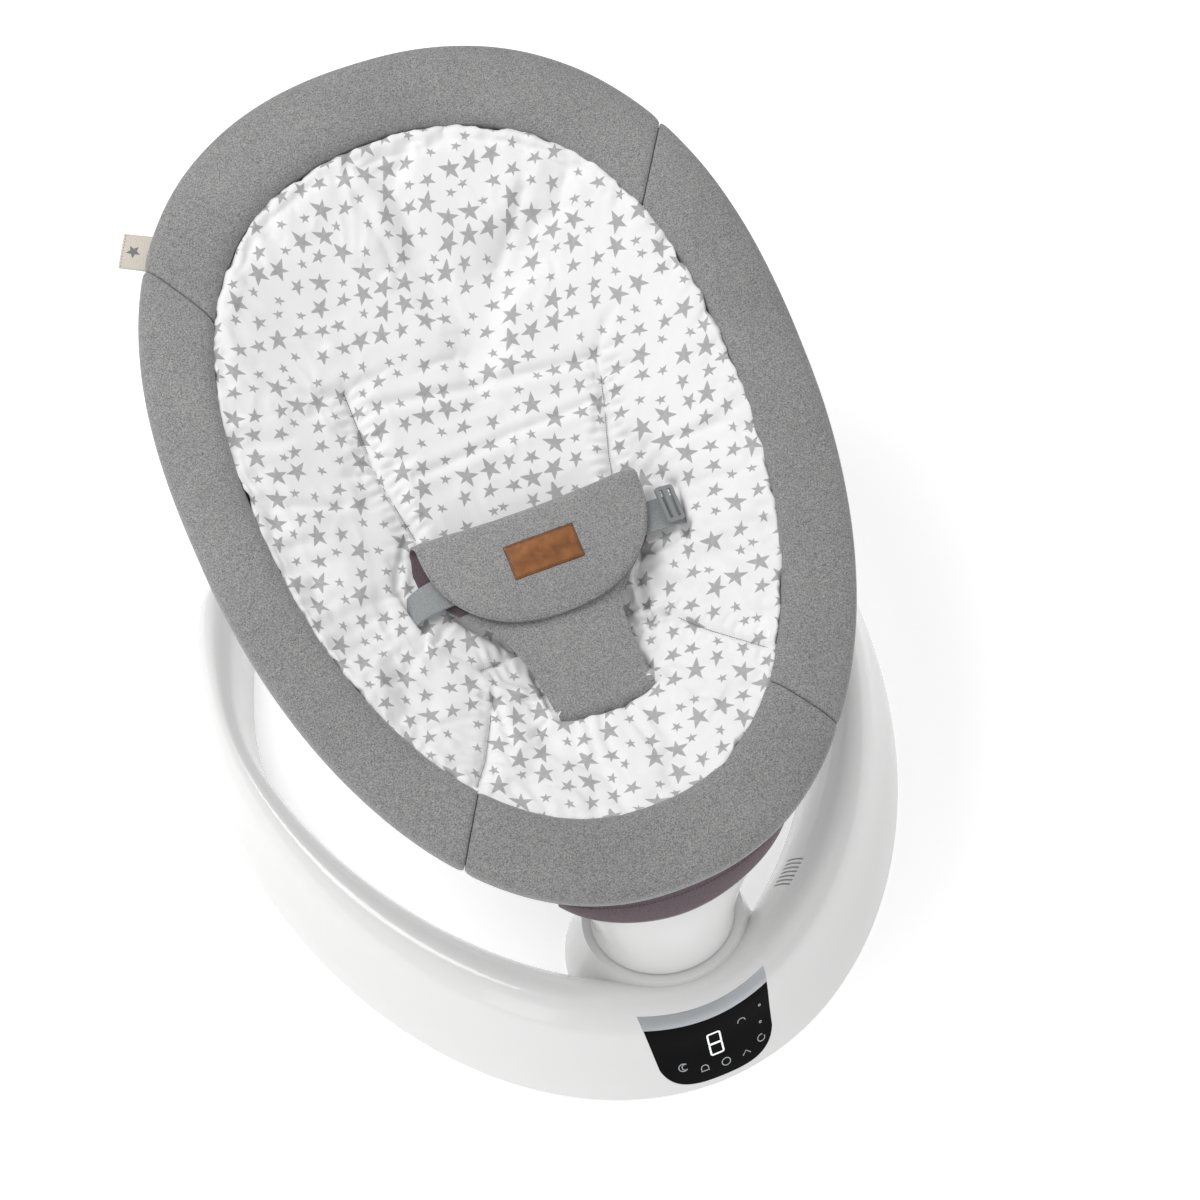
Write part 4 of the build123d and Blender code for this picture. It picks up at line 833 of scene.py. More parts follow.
moved = swollen(cushion, pinned, pressure=4.0, looser=0.05, cap=7 * MM)
print("cushion moved", round(float(np.linalg.norm(moved, axis=1).max() * 1000), 2), "mm")
finer = cushion.modifiers.new("finer", "SUBSURF")
finer.levels = finer.render_levels = 1
applied(cushion)
print("cushion", len(cushion.data.polygons), "faces")

# %% [markdown]
# ## Creases, gathers and the print
# Seams pull the face down into narrow valleys with puckers across them, the rim is gathered, and the cloth
# rumples around the crotch strap. These folds are smaller than the simulation's mesh, so they are pressed in
# after it. The print map unrolls the bowl: distances from its middle are lengthened by how much the slope
# stretches them, and stars keep their shape on the steep sides.

# %% Fold and map the cushion
soft_creases = [
    ([(-76, 94), (10, 86), (100, 72)], 1.6, 9),
    ([(-66, 31), (20, 40), (96, 39)], 1.2, 8),
    ([(-79, -93), (-41, -131)], 3.0, 7),
    ([(-85, -159), (-47, -175)], 2.6, 6),
    ([(-38, -153), (-38, -190)], 3.0, 6),
    ([(-64, -204), (-46, -196)], 2.0, 5),
    ([(68, -106), (62, -154)], 3.2, 6),
    ([(75, -145), (62, -154)], 2.6, 5),
    ([(52, -144), (76, -148)], 2.2, 5),
    ([(50, -192), (72, -225)], 2.0, 7),
    ([(-18, -206), (-24, -238)], 1.6, 6),
    ([(14, -208), (20, -244)], 1.6, 6),
    ([(-77, -170), (-80, -206)], 1.8, 6),
    ([(-94, -18), (-118, -58)], 1.6, 6),
    ([(77, -93), (110, -98), (118, -88)], 2.2, 6),
    ([(-81, -88), (-103, -106)], 2.0, 6),
    ([(-100, 150), (-150, 190)], 1.2, 9),
    ([(60, 170), (96, 214)], 1.2, 9),
    ([(-20, 190), (-30, 250)], 1.1, 9),
    ([(130, -20), (165, -26)], 1.2, 8),
    ([(-130, 20), (-170, 26)], 1.2, 8),
    ([(-126, -120), (-150, -130)], 1.2, 8),
]
place_now = np.array([v.co for v in cushion.data.vertices])
out_now = np.array([v.normal for v in cushion.data.vertices])
x, y, z = place_now.T
upper = np.clip((out_now[:, 2] - 0.05) / 0.4, 0, 1)
drop = np.zeros(len(x))
for line in sewn_lines:
    away, along = line_distance(x, y, line)
    pucker = 0.5 + 0.5 * np.sin(along / (8.5 * MM) * 2 * pi + 7 * x / 0.1)
    drop -= 4.4 * MM * np.exp(-(away / (2.2 * MM)) ** 2)
    drop += 2.2 * MM * pucker * np.exp(-((away - 9 * MM) / (6.5 * MM)) ** 2)
for line in slits:
    away, along = line_distance(x, y, line)
    drop -= 6 * MM * np.exp(-(away / (2.4 * MM)) ** 2)
    drop += 1.8 * MM * np.exp(-((away - 7 * MM) / (4.5 * MM)) ** 2)
for line, depth, width in soft_creases:
    away, along = line_distance(x, y, line)
    drop -= 1.5 * depth * MM * np.exp(-(away / (width * 0.45 * MM)) ** 2)
    drop += 0.8 * depth * MM * np.exp(-((away - width * MM) / (width * 0.7 * MM)) ** 2)
rim = np.clip(face_share(x, y) / 0.16, 0, 1)
bearing = np.arctan2(x, y + 0.03)
rumple = np.exp(-(np.maximum(np.hypot((x - 0.002) / 1.0, (y + 0.165) / 1.0) - 0.045, 0) / 0.035) ** 2)
for k in range(len(x)):
    gather = noise.noise(Vector((bearing[k] * 17, rim[k] * 1.2, 3.1)))
    gather += 0.5 * noise.noise(Vector((bearing[k] * 36, rim[k] * 1.6, 8.4)))
    slow = noise.noise(Vector((x[k] * 26, y[k] * 17, 1.7)))
    sharp = 1 - abs(noise.noise(Vector((x[k] * 34 + 2 * slow, y[k] * 26, 5.5)))) * 2.6
    drop[k] += (2.2 * gather * (1 - rim[k]) ** 0.8 + 1.5 * slow + 0.9 * max(sharp, 0)) * MM
    if rumple[k] > 0.02:
        wild = noise.noise(Vector((x[k] * 60, y[k] * 44, 9.2)))
        drop[k] += rumple[k] * 4.2 * wild * MM
place_now += out_now * (drop * upper)[:, None]
cushion.data.vertices.foreach_set("co", to_world(place_now).ravel())

x, y, z = place_now.T
share = face_share(x, y)
flat_y = y + 0.045
slope = seat_depth / (face_width / 2) * 1.667
reach = np.hypot(x / (face_width / 2), flat_y / (face_length / 2))
stretch = 1 + slope**2 * np.clip(reach, 0, 1.05) ** (4 / 3) * 0.12
layout = cushion.data.uv_layers.new(name="print")
loops = np.zeros(len(cushion.data.loops), np.int32)
cushion.data.loops.foreach_get("vertex_index", loops)
unrolled = np.stack([x * stretch + 0.4, flat_y * stretch + 0.4], axis=1)
layout.data.foreach_set("uv", unrolled[loops].ravel())
cushion.data.polygons.foreach_set("use_smooth", [True] * len(cushion.data.polygons))
cushion.data.update()
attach(cushion, "seat")
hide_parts("seat_cushion")


def on_face(x, y, lift=0.0):
    """Point of the swing's frame on the cushion's face, from millimetres in the ring's plane."""
    height = float(face_height(x * MM, y * MM))
    return to_world([[x * MM, y * MM, height + lift]])[0]


seam_threads = []
for line in sewn_lines:
    fine = []
    for (ax, ay), (bx, by) in zip(line[:-1], line[1:]):
        for s in np.linspace(0, 1, 8)[:-1]:
            fine.append(on_face(ax + (bx - ax) * s, ay + (by - ay) * s, -1.6 * MM))
    seam_threads.append(fine + [on_face(*line[-1], -1.6 * MM)])
threads = sew("cushion_stitches", seam_threads, thread_grey, "seat",
              spacing=0.0021, length=0.0021, thickness=0.0007)

# %% [markdown]
# ## The sling under it
# Below the liner a stretched sling carries the weight. Its hem is sewn flat under the ring, and the cloth
# follows the same bowl a little further out. It is one closed shell: an outer skin, an inner skin and the
# hem.

# %% Sling
hem_outer = span("seat_sling")


def sling_rows(out, lift):
    rows = []
    reach_x, reach_y = hem_outer[1][0] * 2, hem_outer[1][1] - hem_outer[0][1]
    middle_y = (hem_outer[1][1] + hem_outer[0][1]) / 2
    hem_z = hem_outer[1][2] - 2 * MM + lift
    for inset in (0.0, 4 * MM, 12 * MM):
        long, wide = reach_y - 2 * inset, reach_x * 0.995 - 2 * inset
        rows.append([(*egg_point(360 * k / around, long, wide, middle_y), hem_z) for k in range(around)])
    depth = 89 * MM + out
    for part in (0.0, 0.03, 0.07, 0.12, 0.18, 0.26, 0.36, 0.48, 0.6, 0.72, 0.84, 0.93, 0.985):
        s = 0.162 + (1 - 0.162) * part
        long, wide = inner_length - 1 * MM + 3 * out, inner_width - 1 * MM + 3 * out
        rows.append(bowl_row(s, long, wide, -8 * MM, depth, around))
    return rows


around = 144
outer_skin = sling_rows(2.2 * MM, 0.0)
inner_skin = sling_rows(0.4 * MM, 1.8 * MM)
rows = list(reversed(inner_skin)) + outer_skin
sling_points = np.array([p for row in rows for p in row])
for k, p in enumerate(sling_points):
    if p[2] < -22 * MM:
        along = atan2(p[0], p[1] + 0.05)
        ripple = noise.noise(Vector((along * 9, p[2] * 14, 4.4)))
        sling_points[k, 2] += (0.5 * ripple - 0.4) * MM
faces = grid_faces(len(rows), around, close_columns=True)
faces.append(tuple(range(around)))
faces.append(tuple(range(len(sling_points) - 1, len(sling_points) - around - 1, -1)))
sling = make_piece("seat_sling_cloth", to_world(sling_points), faces, sling_cloth)
face_outwards(sling)
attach(sling, "seat")
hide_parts("seat_sling")
hem_row = [to_world([p])[0] for p in outer_skin[1]] + [to_world([outer_skin[1][0]])[0]]
second = [to_world([p])[0] for p in outer_skin[2]] + [to_world([outer_skin[2][0]])[0]]
hem_stitches = sew("hem_stitches", [hem_row, second], thread_grey, "seat",
                   spacing=0.005, length=0.0036, thickness=0.0009)

# %% [markdown]
# ## The belly pad
# One padded cloth comes up out of the seat between the legs, widens, folds over at the top and hangs down in
# front as a rounded flap. It is a grid of columns: each column runs up the back, round the fold and down the
# flap to its own point of the rounded edge. Two skins stand off from that grid, and the filling thins out
# towards the sewn edges. Inside the fold, under the flap and where the fold lies open, the inner skin is dark
# plum.

# %% Belly pad
left_edge = [(-206, -36), (-199, -36.5), (-190, -37), (-175, -39), (-153, -43), (-134, -49), (-120, -55),
             (-107, -67), (-97, -77), (-85, -87), (-70, -99), (-50, -100), (-36, -96)]
right_edge = [(-206, 43.5), (-199, 43.5), (-190, 43.5), (-175, 42.5), (-153, 41.8), (-134, 42.5), (-120, 48),
              (-107, 60), (-95, 73), (-85, 83), (-70, 90), (-50, 91), (-36, 89)]
flap_half, flap_drop = 92.5, 78.0
fold_radius = 5.5


def fold_line(x):
    return -36 - 5 * (1 - (x / flap_half) ** 2)


def flap_height(x, y):
    """Middle of the flap above the ring's plane, in mm."""
    crown = 1 - (x / 100) ** 2
    hang = np.clip((-y - 40) / flap_drop, 0, 1)
    return -24.5 + 3.4 * crown * np.sin(pi * np.clip(hang * 0.8 + 0.25, 0, 1)) - 3.2 * hang**2


def back_height(x, y):
    """The strap lies a little above the cushion, and dives into its slit at the end."""
    free = np.interp(y, [-206, -150, -110, -36], [-39, -36, -34.5, -35.5])
    resting = float(face_height(x * MM, y * MM)) / MM + 4.5
    dive = np.clip((-y - 199 + 0.09 * abs(x - 10)) / 5, 0, 1)
    return max(free, resting) - 13 * dive**1.5


def pad_column(u, back_rows=46, fold_rows=9, flap_rows=34):
    """Points (mm, ring's frame) of the pad's middle layer, from the crotch end to the flap's edge."""
    column = []
    left_y, left_x = zip(*left_edge)
    right_y, right_x = zip(*right_edge)
    share = (u + 1) / 2
    for y in np.linspace(-205, -40, back_rows):
        x = np.interp(y, left_y, left_x) * (1 - share) + np.interp(y, right_y, right_x) * share
        column.append((x, y, back_height(x, y) - 1.6 * u * u + 1.2 * (1 - u * u)))
    back_x = column[-1][0]
    front_x = flap_half * u
    top_y = fold_line(front_x)
    high, low = flap_height(front_x, top_y), column[-1][2]
    for k in range(1, fold_rows + 1):
        turn_angle = pi * k / (fold_rows + 1)
        x = back_x + (front_x - back_x) * k / (fold_rows + 1)
        z = (high + low) / 2 - (high - low) / 2 * cos(turn_angle)
        column.append((x, top_y - 1 + fold_radius * sin(turn_angle), z))
    depth = flap_drop * (1 - min(abs(u), 0.9995) ** 2.35) ** (1 / 2.35)
    for k in range(flap_rows):
        y = top_y - 1 - (depth + 1.5) * k / (flap_rows - 1)
        column.append((front_x, y, flap_height(front_x, y)))
    return column


columns = 73
across = [sin(pi / 2 * (2 * k / (columns - 1) - 1)) for k in range(columns)]
middle = np.array([pad_column(u) for u in across])
along_step = np.gradient(middle, axis=1)
across_step = np.gradient(middle, axis=0)
out = np.cross(along_step, across_step)
out /= np.maximum(np.linalg.norm(out, axis=2), 1e-9)[:, :, None]
sideways = middle[:, :, 0]
from_side = np.minimum(np.abs(sideways - sideways[:1]), np.abs(sideways - sideways[-1:]))
run = np.linalg.norm(np.diff(middle, axis=1), axis=2)
run = np.concatenate([np.zeros((columns, 1)), np.cumsum(run, axis=1)], axis=1)
from_end = run[:, -1:] - run
edge = np.minimum(from_side, from_end)
half = 0.9 + 1.9 * (1 - np.exp(-edge / 4.5)) - 0.55 * np.exp(-((edge - 4.0) / 1.1) ** 2)
puff = np.array([[noise.noise(Vector(p) * 0.055) for p in column] for column in middle])
half += 0.35 * puff
front = middle + out * half[:, :, None]
rear = middle - out * half[:, :, None]
if front[columns // 2, -10, 2] < rear[columns // 2, -10, 2]:
    front, rear = rear, front
tall = middle.shape[1]
pad_points = np.concatenate([front.reshape(-1, 3), rear.reshape(-1, 3)]) * MM
faces = grid_faces(columns, tall)
skin = len(faces)
faces += [tuple(columns * tall + v for v in reversed(face)) for face in grid_faces(columns, tall)]
border = [(0, r) for r in range(tall)] + [(c, tall - 1) for c in range(1, columns)]
border += [(columns - 1, r) for r in range(tall - 2, -1, -1)] + [(c, 0) for c in range(columns - 2, 0, -1)]
for (c1, r1), (c2, r2) in zip(border, border[1:] + border[:1]):
    a, b = c1 * tall + r1, c2 * tall + r2
    faces.append((a, b, columns * tall + b, columns * tall + a))
pad = make_piece("belly_pad_folded", to_world(pad_points), faces, pad_cloth)
pad.data.materials.append(flap_cloth)
# inside the fold the inner skin is dark plum: under the flap and round the fold
dark_plum_inner = [0] * len(faces)
for c in range(columns - 1):
    for r in range(tall - 1):
        if middle[c, r, 1] > -97 or r > 46:
            dark_plum_inner[skin + c * (tall - 1) + r] = 1
pad.data.polygons.foreach_set("material_index", dark_plum_inner)
face_outwards(pad)
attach(pad, "seat")
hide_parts("belly_pad", "crotch_strap")
flap_start, stitch_inset = 58, 2.6  # first row that is surely on the flap, and mm from its edge
edge_row = []
for c in range(1, columns - 1):
    r = int(np.argmin(np.abs(edge[c, flap_start:] - stitch_inset))) + flap_start
    if edge[c, flap_start:].min() <= stitch_inset + 0.8 and from_end[c, flap_start] > stitch_inset:
        edge_row.append(to_world([front[c, r] * MM])[0])
flap_stitches = sew("flap_stitches", [edge_row], thread_grey, "seat",
                    spacing=0.0034, length=0.0026, thickness=0.0006)
print("pad", len(faces), "faces")

# %% [markdown]
# ## Webbing and its slits
# Ribbed tape comes out of each end of the fold and dives into a slit of the cushion. The tape's ribs run
# along it, so it is a bent ribbon with its own thickness, and the right one carries a slider.

# %% Webbing
# outline of the tape's section, as shares of its width and thickness: the selvedges are a little thicker
tape_section = [(-0.5, -0.5), (-0.5, 0.5), (-0.46, 0.62), (-0.2, 0.55), (0.2, 0.55), (0.46, 0.62), (0.5, 0.5),
                (0.5, -0.5), (0.46, -0.62), (-0.46, -0.62)]


def ribbon(name, path, wide, thick, material):
    """Flat tape along a path in mm; its width runs along the second vector of each path entry."""
    points = []
    path_points = np.array([p for p, w in path], float)
    for k, (p, w) in enumerate(path):
        nxt = path_points[min(k + 1, len(path) - 1)] - path_points[max(k - 1, 0)]
        w = np.array(w, float) / np.linalg.norm(w)
        up = np.cross(nxt, w)
        up /= np.linalg.norm(up)
        up = up if up[2] > 0 else -up
        for a, b in tape_section:
            points.append(np.array(p) + w * a * wide + up * b * thick)
    sides = len(tape_section)
    faces = grid_faces(len(path), sides, close_columns=True)
    faces.append(tuple(range(sides)))
    faces.append(tuple(range(len(points) - 1, len(points) - sides - 1, -1)))
    piece = make_piece(name, to_world(np.array(points) * MM), faces, material)
    face_outwards(piece)
    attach(piece, "seat")
    return piece


def bent_path(corners, steps=7):
    """Smooth path through corners, each (x, y, z, slant of the width)."""
    corners = np.array(corners, float)
    path = []
    for k in range(len(corners) - 1):
        before, after = corners[max(k - 1, 0)], corners[min(k + 2, len(corners) - 1)]
        a, b = corners[k], corners[k + 1]
        for s in np.linspace(0, 1, steps, endpoint=k == len(corners) - 2):
            p = 0.5 * (2 * a + (b - before) * s + (2 * before - 5 * a + 4 * b - after) * s**2
                       + (3 * a - before - 3 * b + after) * s**3)
            path.append((p[:3], (p[3], 1, 0)))
    return path


left_corners = [(-76, -73, -30, 0.05), (-90, -74, -30, 0.1), (-102, -75, -34, 0.16), (-110, -76, -42, 0.2),
                (-113, -76.5, -50, 0.2)]
right_corners = [(76, -73, -30, -0.05), (92, -73, -29.5, -0.1), (106, -72.5, -33, -0.14),
                 (116, -72, -40, -0.15), (119, -72, -48, -0.15)]
tape_width, tape_thickness = 25, 1.6
left_tape = ribbon("webbing_left", bent_path(left_corners), tape_width, tape_thickness, tape)
right_tape = ribbon("webbing_right", bent_path(right_corners), tape_width, tape_thickness, tape)
for side, piece in (("left", left_tape), ("right", right_tape)):
    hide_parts(f"side_strap_{side}")

# %% [markdown]
# ## Leather patch
# A tanned patch is sewn on the flap. Its edge is darker where the knife and the stitches pressed it, which an
# attribute carries to the leather material, and its face bulges slightly inside the stitching.

# %% Leather patch
def patch_point(x, y, lift):
    base = flap_height(x, y) + 2.6
    return x, y, base + lift


patch_x, patch_y, patch_w, patch_h = -0.5, -72.5, 58.5, 28.5
across_count, along_count = 49, 27
patch_points, rim_values = [], []
for k in range(across_count):
    for m in range(along_count):
        a, b = -1 + 2 * k / (across_count - 1), -1 + 2 * m / (along_count - 1)
        x, y = patch_x + a * patch_w / 2, patch_y + b * patch_h / 2
        inset = min((1 - abs(a)) * patch_w / 2, (1 - abs(b)) * patch_h / 2)
        lift = 1.5 * (1 - exp(-inset / 0.5)) + 0.35 * (1 - exp(-max(inset - 1.6, 0) / 3))
        lift -= 0.35 * exp(-((inset - 1.9) / 0.6) ** 2)
        lift += 0.12 * noise.noise(Vector((x * 0.2, y * 0.2, 0)))
        patch_points.append(patch_point(x, y, lift))
        rim_values.append(exp(-inset / 1.1))
count = len(patch_points)
patch_points += [patch_point(p[0], p[1], -0.1) for p in patch_points]
rim_values += [1.0] * count
faces = grid_faces(across_count, along_count)
faces += [tuple(count + v for v in reversed(face)) for face in faces]
border = [(0, r) for r in range(along_count)] + [(c, along_count - 1) for c in range(1, across_count)]
border += [(across_count - 1, r) for r in range(along_count - 2, -1, -1)]
border += [(c, 0) for c in range(across_count - 2, 0, -1)]
for (c1, r1), (c2, r2) in zip(border, border[1:] + border[:1]):
    a, b = c1 * along_count + r1, c2 * along_count + r2
    faces.append((a, b, count + b, count + a))
patch = make_piece("leather_patch", to_world(np.array(patch_points) * MM), faces, tan_leather)
rim_layer = patch.data.attributes.new("rim", "FLOAT", "POINT")
rim_layer.data.foreach_set("value", np.array(rim_values, np.float32))
face_outwards(patch)
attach(patch, "seat")
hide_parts("leather_label")
inset_w, inset_h = patch_w / 2 - 1.9, patch_h / 2 - 1.9
loop = []
for (ax, ay), (bx, by) in zip([(-1, -1), (1, -1), (1, 1), (-1, 1)], [(1, -1), (1, 1), (-1, 1), (-1, -1)]):
    for s in np.linspace(0, 1, 14, endpoint=False):
        x = patch_x + (ax + (bx - ax) * s) * inset_w
        y = patch_y + (ay + (by - ay) * s) * inset_h
        loop.append(to_world(np.array([patch_point(x, y, 1.45)]) * MM)[0])
patch_stitches = sew("patch_stitches", [loop + loop[:1]], thread_tan, "seat",
                     spacing=0.0023, length=0.0017, thickness=0.0006)

# %% [markdown]
# ## The side tag
# A folded tag of twill tape is caught in the head seam on the left. It lies flat, with a small woven star
# and a short row of stitches by the seam.

# %% Side tag
tag_low, tag_high = span("side_tag")
tag_root = egg_point(360 - left_seam[1] + 3.2, ring_length, egg_width)
tag_out = np.array((-0.886, 0.464))
tag_along = np.array((-tag_out[1], tag_out[0]))
tag_height = (tag_low[2] + tag_high[2]) / 2


def tag_point(out, along, lift=0.0):
    """Point of the tag: out from the ring's edge and along it, in mm."""
    flat = tag_root + tag_out * (out - 3) * MM + tag_along * along * MM
    wave = 0.9 * sin(along * 0.14 + 0.6) * min(max(out, 0) / 18, 1)
    return flat[0], flat[1], tag_height + (wave + lift) * MM


tag_points, tag_wide, tag_deep, tag_rows, tag_columns = [], 30.0, 24.0, 15, 19
for side in (1, -1):
    for r in range(tag_rows):
        out = tag_deep * r / (tag_rows - 1)
        for c in range(tag_columns):
            across = -tag_wide / 2 + tag_wide * c / (tag_columns - 1)
            border = min(tag_deep - out, tag_wide / 2 - abs(across))
            tag_points.append(tag_point(out, across, side * (0.35 + 0.5 * (1 - exp(-border / 0.7)))))
faces = grid_faces(tag_rows, tag_columns)
count = tag_rows * tag_columns
faces += [tuple(count + v for v in reversed(face)) for face in faces]


def border_of(rows, columns):
    """Corners round a grid, in order, as its point numbers."""
    ring = [r * columns for r in range(rows)]
    ring += [(rows - 1) * columns + c for c in range(1, columns)]
    ring += [r * columns + columns - 1 for r in range(rows - 2, -1, -1)]
    return ring + list(range(columns - 2, 0, -1))


rim_ring = border_of(tag_rows, tag_columns)
faces += [(a, b, count + b, count + a) for a, b in zip(rim_ring, rim_ring[1:] + rim_ring[:1])]
tag = make_piece("side_tag_twill", to_world(tag_points), faces, tag_cloth)
face_outwards(tag)
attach(tag, "seat")
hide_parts("side_tag")
star_points = []
for lift in (0.75, 1.15):
    for k in range(10):
        radius = 5.6 if k % 2 == 0 else 2.5
        angle = 2 * pi * k / 10 + 0.3
        star_points.append(tag_point(14.5 + radius * cos(angle), radius * sin(angle), lift))
star_faces = [tuple(range(10)), tuple(range(19, 9, -1))]
star_faces += [(k, (k + 1) % 10, 10 + (k + 1) % 10, 10 + k) for k in range(10)]
star = make_piece("tag_star", to_world(star_points), star_faces, tag_ink, smooth=False)
face_outwards(star)
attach(star, "seat")
tag_rows_of_thread = [[to_world([tag_point(22.4, a, 0.9)])[0] for a in np.linspace(-13, 13, 20)]]
tag_stitches = sew("tag_stitches", tag_rows_of_thread, thread_grey, "seat",
                   spacing=0.0024, length=0.0017, thickness=0.0005)

# %% [markdown]
# ## The front flap
# A short plum flap hangs from under the foot of the ring into the mouth of the neck. It is a thin band laid
# a little inside the ring's outline, stitched along its top edge.

# %% Front flap
flap_high = span("front_flap")[1]
mouth = np.array([v.co for v in frame["nodes"]["neck_shell_front"].data.vertices])
mouth = mouth[np.lexsort((mouth[:, 2], mouth[:, 0]))]
flap_reach, flap_columns, flap_levels = 93 * MM, 73, 15


def mouth_edge(x):
    """Front lip of the neck's mouth at x, in the swing's frame: the foremost of its highest points."""
    near = mouth[np.abs(mouth[:, 0] - x) < 5 * MM]
    high = near[near[:, 2] > near[:, 2].max() - 7 * MM]
    return high[np.argmin(high[:, 1] - 0.3 * high[:, 2])]


lips = np.array([mouth_edge(x) for x in np.linspace(-flap_reach, flap_reach, 25)])
places = np.linspace(-flap_reach, flap_reach, flap_columns)
smooth = np.stack([np.polyval(np.polyfit(lips[:, 0], lips[:, k], 6), places) for k in (1, 2)], axis=1)
flap_points = []
for side in (0, 1):
    for level in range(flap_levels):
        share = level / (flap_levels - 1)
        for c, x in enumerate(places):
            level_inset = (5.0 + 1.6 * side) * MM
            wide, long = egg_width - 2 * level_inset, ring_length - 2 * level_inset
            angle_cos = -0.95
            for _ in range(6):
                s = min(abs(x) / (wide / 2 * (1 + swell * angle_cos)), 1)
                angle_cos = -((1 - s**squareness) ** 0.5)
            y = -long / 2 * (1 - s**squareness) ** (1 / squareness)
            high = to_world([[x, y, flap_high[2] + 3 * MM]])[0]
            low = np.array((x, smooth[c, 0] - (1.0 - 1.6 * side) * MM, smooth[c, 1] - 1.5 * MM))
            bulge_out = 1.4 * MM * sin(pi * share)
            ripple = 0.35 * MM * noise.noise(Vector((x * 55, share * 1.5, 2.2))) * sin(pi * share)
            point = high + (low - high) * share + np.array((0, -bulge_out - ripple, 0))
            flap_points.append(tuple(point))
faces = grid_faces(flap_levels, flap_columns)
count = flap_levels * flap_columns
faces += [tuple(count + v for v in reversed(face)) for face in faces]
rim_ring = border_of(flap_levels, flap_columns)
faces += [(a, b, count + b, count + a) for a, b in zip(rim_ring, rim_ring[1:] + rim_ring[:1])]
flap = make_piece("front_flap_cloth", flap_points, faces, flap_cloth)
face_outwards(flap)
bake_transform(flap)
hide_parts("front_flap")
top_thread = []
for c in range(3, flap_columns - 3):
    here = Vector(flap_points[4 * flap_columns + c])
    top_thread.append(here + Vector((0, -0.6 * MM, 0.3 * MM)))
flap_thread = sew("flap_top_stitches", [top_thread], piping_cloth, "seat",
                  spacing=0.003, length=0.0022, thickness=0.0006)

# %% [markdown]
# ## Marks on the touch panel
# The display digit and the touch icons are thin printed shapes. Each is drawn in the panel's own plane and
# dropped onto the glass, so it follows the glass's curve.

# %% Panel marks
def ink(name, colour, glow):
    material, tree, shader, at = shade(name, roughness=0.35)
    tone = use_group(tree, uneven, Vector=at, Size=0.004, Low=0.9, High=1.0)
    flat = tree.nodes.new("ShaderNodeRGB")
    flat.outputs[0].default_value = colour
    tinted = vector_calc(tree, "MULTIPLY", flat.outputs[0], tone.outputs["Value"])
    tree.links.new(tinted, shader.inputs["Base Color"])
    tree.links.new(tinted, shader.inputs["Emission Color"])
    shader.inputs["Emission Strength"].default_value = glow
    return material


digit_ink = ink("digit_white", (0.85, 0.87, 0.88, 1), 0.5)
icon_ink = ink("icon_grey", (0.42, 0.44, 0.46, 1), 0.15)
glass = frame["nodes"]["panel_glass"]
glass_corners = [v.co.copy() for v in glass.data.vertices]
glass_tree = BVHTree.FromPolygons(glass_corners, [tuple(p.vertices) for p in glass.data.polygons])
panel_origin, panel_out = Vector((0, -0.34, 0.07)), Vector((0, -0.8911, 0.4537)).normalized()
panel_up = Vector((0, 0.4537, 0.8911)).normalized()
print("glass has", len(glass.data.polygons), "faces")


def on_glass(u, v, lift):
    """Point on the glass from mm in its plane, lifted by mm."""
    start = panel_origin + Vector((u * MM, 0, 0)) + panel_up * v * MM + panel_out * 0.06
    hit = glass_tree.ray_cast(start, -panel_out)
    return (hit[0] if hit[0] else start - panel_out * 0.06) + panel_out * lift * MM


def printed(name, strokes, wide, material, closed=()):
    """Printed lines on the glass: each stroke is a list of (u, v) in mm."""
    points, faces = [], []
    for number, stroke in enumerate(strokes):
        path = np.array(stroke, float)
        shut = number in closed
        first = len(points)
        for k in range(len(path)):
            nxt = path[(k + 1) % len(path)] if shut or k + 1 < len(path) else path[k]
            prev = path[k - 1] if shut or k else path[k]
            run = (nxt - prev) / max(np.linalg.norm(nxt - prev), 1e-9)
            side = np.array((-run[1], run[0])) * wide / 2
            for a, lift in ((side, 0.14), (-side, 0.14), (-side, -0.2), (side, -0.2)):
                points.append(tuple(on_glass(*(path[k] + a), lift)))
        count = len(path)
        for k in range(count if shut else count - 1):
            a, b = first + 4 * k, first + 4 * ((k + 1) % count)
            faces += [(a + i, a + (i + 1) % 4, b + (i + 1) % 4, b + i) for i in range(4)]
        if not shut:
            faces += [(first, first + 1, first + 2, first + 3),
                      tuple(first + 4 * (count - 1) + i for i in (3, 2, 1, 0))]
    piece = make_piece(name, points, faces, material, smooth=False)
    face_outwards(piece)
    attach(piece, "base")
    return piece


def arc(u, v, radius, start, end, count=20):
    bearings = [radians(a) for a in np.linspace(start, end, count)]
    return [(u + radius * cos(a), v + radius * sin(a)) for a in bearings]


def loop_of(u, v, wide, tall, corner=1.4):
    """Rounded box as a closed stroke."""
    line = []
    for cx, cy, first in ((1, 1, 0), (-1, 1, 90), (-1, -1, 180), (1, -1, 270)):
        line += arc(u + cx * (wide / 2 - corner), v + cy * (tall / 2 - corner), corner, first, first + 90, 6)
    return line


digit = [loop_of(-1, -34 + 5.1, 10.5, 10.6), loop_of(-1, -34 - 5.1, 10.5, 10.6)]
printed("display_digit", digit, 1.5, digit_ink, closed=(0, 1))
moon = arc(-30.5, -47, 3.6, 40, 320, 22) + arc(-28.6, -47, 2.9, 290, 70, 18)
bell = arc(-14, -54, 3.0, 200, -20, 14) + [(-10.6, -56.6), (-17.4, -56.6)]
clock, chevron = arc(4, -55.5, 3.6, 0, 345, 24), [(18.5, -57.5), (22, -53.5), (25.5, -57.5)]
turning, dome = arc(37, -49.5, 3.2, 60, 380, 22), arc(24, -25, 3.4, 0, 180, 14)
low_dot, high_dot = arc(39.5, -35, 0.9, 0, 300, 8), arc(42, -19, 0.9, 0, 300, 8)
icons = [moon, bell, clock, chevron, turning, low_dot, high_dot, dome]
printed("touch_icons", icons, 0.75, icon_ink, closed=(0, 1, 2, 5, 6))
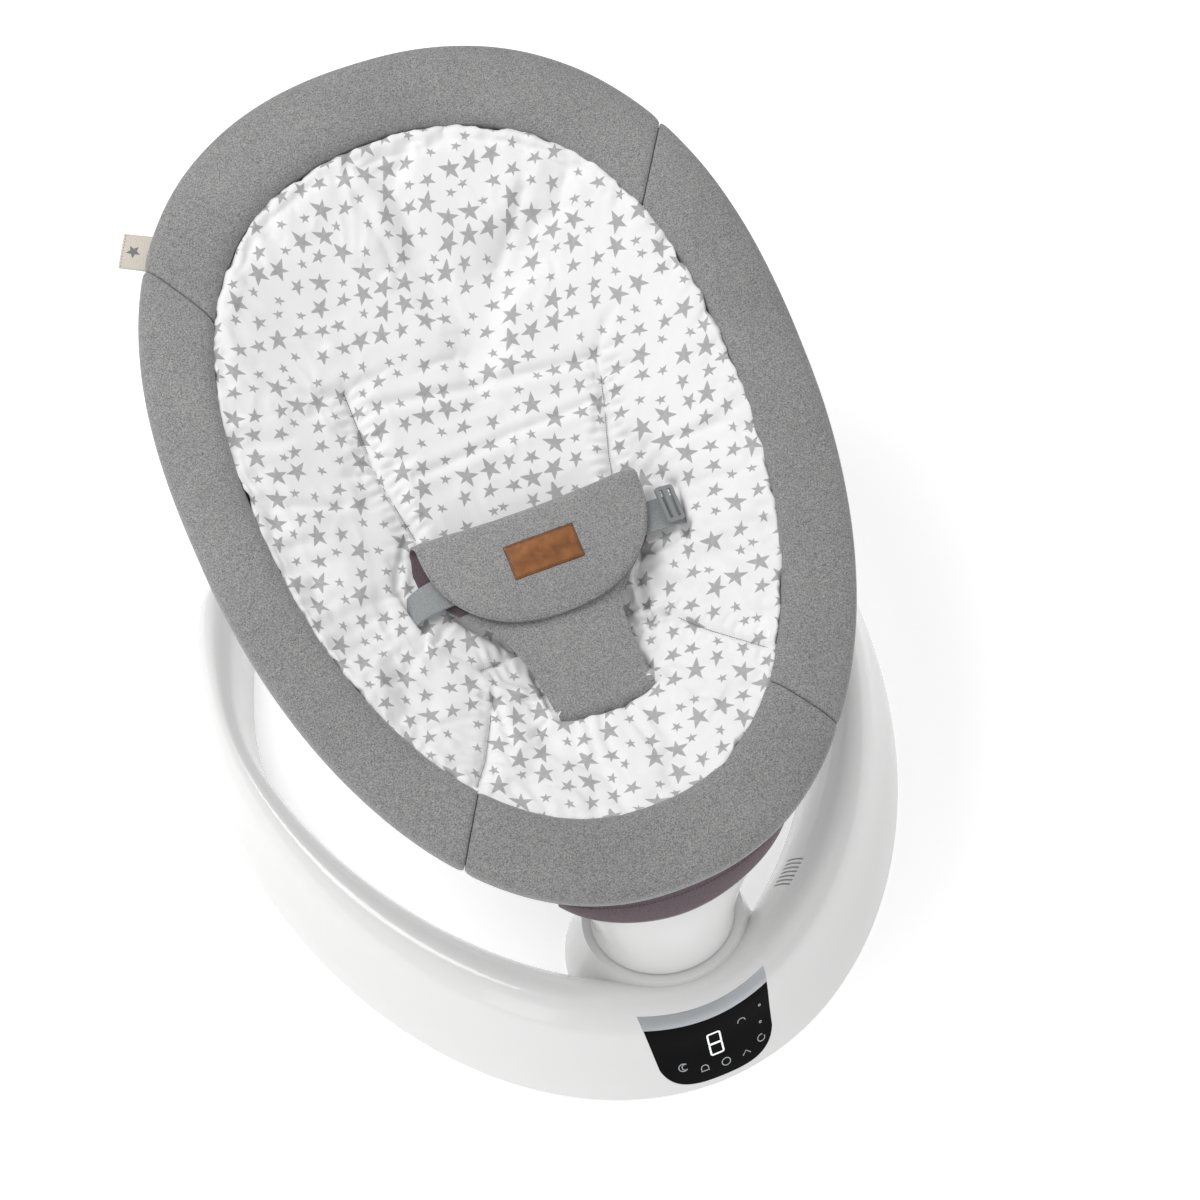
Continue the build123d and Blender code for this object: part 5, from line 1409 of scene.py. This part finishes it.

# %% [markdown]
# ## Floor and light
# A near-white floor with a faint shadow, one broad light from above and behind, one softer from the side,
# and a pale world between them.

# %% Floor and lights
paper = bpy.data.materials.new("floor_white")
paper.use_nodes = True
tree = paper.node_tree
floor_shader = tree.nodes["Principled BSDF"]
floor_at = tree.nodes.new("ShaderNodeTexCoord").outputs["Object"]
floor_tone = use_group(tree, uneven, Vector=floor_at, Size=0.6, Low=0.955, High=0.965)
tree.links.new(floor_tone.outputs["Value"], floor_shader.inputs["Base Color"])
floor_shader.inputs["Roughness"].default_value = 0.9
floor_shader.inputs["Specular IOR Level"].default_value = 0.1
floor_shader.inputs["Emission Color"].default_value = (1, 1, 1, 1)
floor_shader.inputs["Emission Strength"].default_value = 0.42
floor = bpy.data.objects.new("floor", bpy.data.meshes.new("floor"))
floor.data.from_pydata([(-6, -6, 0), (6, -6, 0), (6, 6, 0), (-6, 6, 0)], [], [(0, 1, 2, 3)])
floor.data.materials.append(paper)
bpy.context.scene.collection.objects.link(floor)

world = bpy.data.worlds.new("studio")
bpy.context.scene.world = world
world.use_nodes = True
world.node_tree.nodes["Background"].inputs["Color"].default_value = (1, 1, 1, 1)
world.node_tree.nodes["Background"].inputs["Strength"].default_value = 0.52


def soft_light(name, spot, aim, size, watts):
    light = bpy.data.objects.new(name, bpy.data.lights.new(name, "AREA"))
    light.data.shape = "RECTANGLE"
    light.data.size, light.data.size_y = size
    light.data.energy = watts
    light.location = spot
    light.rotation_euler = (Vector(aim) - Vector(spot)).to_track_quat("-Z", "Y").to_euler()
    bpy.context.scene.collection.objects.link(light)
    return light


soft_light("key", (-0.9, 0.5, 2.1), (0, 0, 0.2), (1.2, 1.2), 22)
soft_light("fill", (1.6, -1.2, 1.8), (0, 0, 0.2), (1.8, 1.8), 5)
soft_light("strip", (-1.6, -1.4, 0.9), (0, -0.2, 0.1), (0.6, 1.4), 3)
bpy.context.scene.view_settings.view_transform = "Standard"
bpy.context.scene.view_settings.look = "None"
